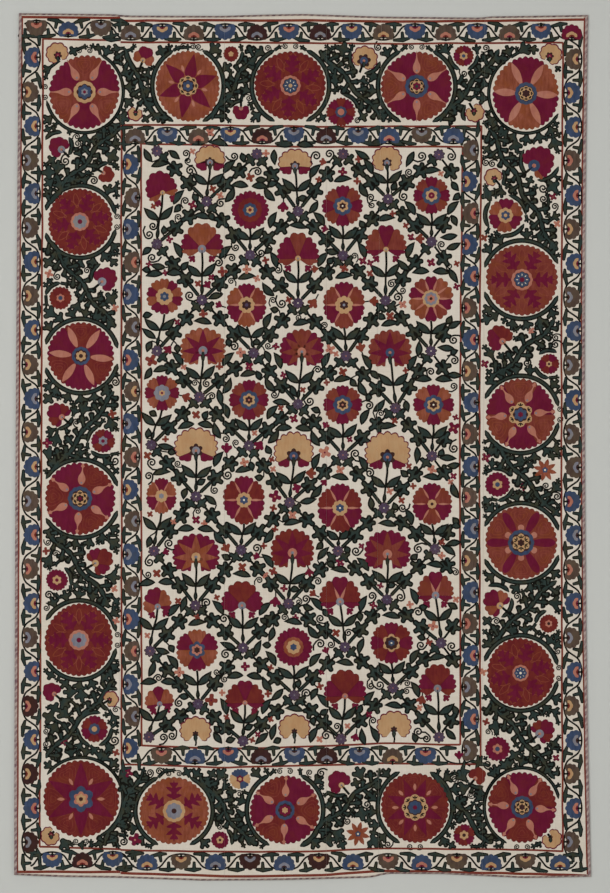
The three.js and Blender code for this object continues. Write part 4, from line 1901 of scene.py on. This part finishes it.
# The backdrop shows from the front alone and holds no light back, so that the back of the cloth can be seen
back_paper, back_tree, back_shader = plain_material("grey_backdrop_paper", "#BFC0BC")
facing = add_node(back_tree, "ShaderNodeNewGeometry", {}, {}).outputs["Backfacing"]
clear = add_node(back_tree, "ShaderNodeBsdfTransparent", {}, {}).outputs[0]
one_sided = add_node(
    back_tree, "ShaderNodeMixShader", {}, {0: facing, 1: back_shader.outputs[0], 2: clear}).outputs[0]
back_tree.links.new(one_sided, back_tree.nodes["Material Output"].inputs["Surface"])
stage_plane("backdrop", back_paper, (
    (-BACK_REACH, BACK_Y, FLOOR_Z), (BACK_REACH, BACK_Y, FLOOR_Z),
    (BACK_REACH, BACK_Y, BACK_TOP), (-BACK_REACH, BACK_Y, BACK_TOP)), shades=False)


def soft_light(name, place, aim, size, power):
    """A square soft box that is aimed at a point."""
    lamp = bpy.data.lights.new(name, "AREA")
    lamp.shape = "SQUARE"
    lamp.size = size
    lamp.energy = power
    light = bpy.data.objects.new(name, lamp)
    light.location = place
    light.rotation_euler = (Vector(aim) - Vector(place)).to_track_quat("-Z", "Y").to_euler()
    bpy.context.collection.objects.link(light)


soft_light("key_light", (-2.0, -6.3, -1.05), (0, 0, -1.35), 2.6, 218)
soft_light("fill_light", (3.2, -6, -2.1), (0, 0, -1.45), 4, 128)
soft_light("back_light", (1.5, 5, 1.5), (0, 0, -1.2), 3, 160)

scene = bpy.context.scene
world = bpy.data.worlds.new("studio")
world.use_nodes = True
world.node_tree.nodes["Background"].inputs["Color"].default_value = linear("#F2F2F0")
world.node_tree.nodes["Background"].inputs["Strength"].default_value = 0.38
scene.world = world
scene.view_settings.view_transform = "Standard"

# The camera looks straight at the cloth: one square of the paper is one pixel of a 610 by 893 image
LENS = 120
FILM = 36
IMAGE_WIDTH = 610
IMAGE_HEIGHT = 893
distance = IMAGE_HEIGHT * SQUARE / 1000 * LENS / FILM
camera_data = bpy.data.cameras.new("camera")
camera_data.sensor_fit = "VERTICAL"
camera_data.sensor_height = FILM
camera_data.sensor_width = FILM
camera_data.lens = LENS
camera = bpy.data.objects.new("camera", camera_data)
camera.location = (
    (IMAGE_WIDTH / 2 - MIDDLE_COLUMN) * SQUARE / 1000,
    -distance,
    (TOP_ROW - IMAGE_HEIGHT / 2) * SQUARE / 1000,
)
camera.rotation_euler = (math.radians(90), 0, 0)
bpy.context.collection.objects.link(camera)
scene.camera = camera
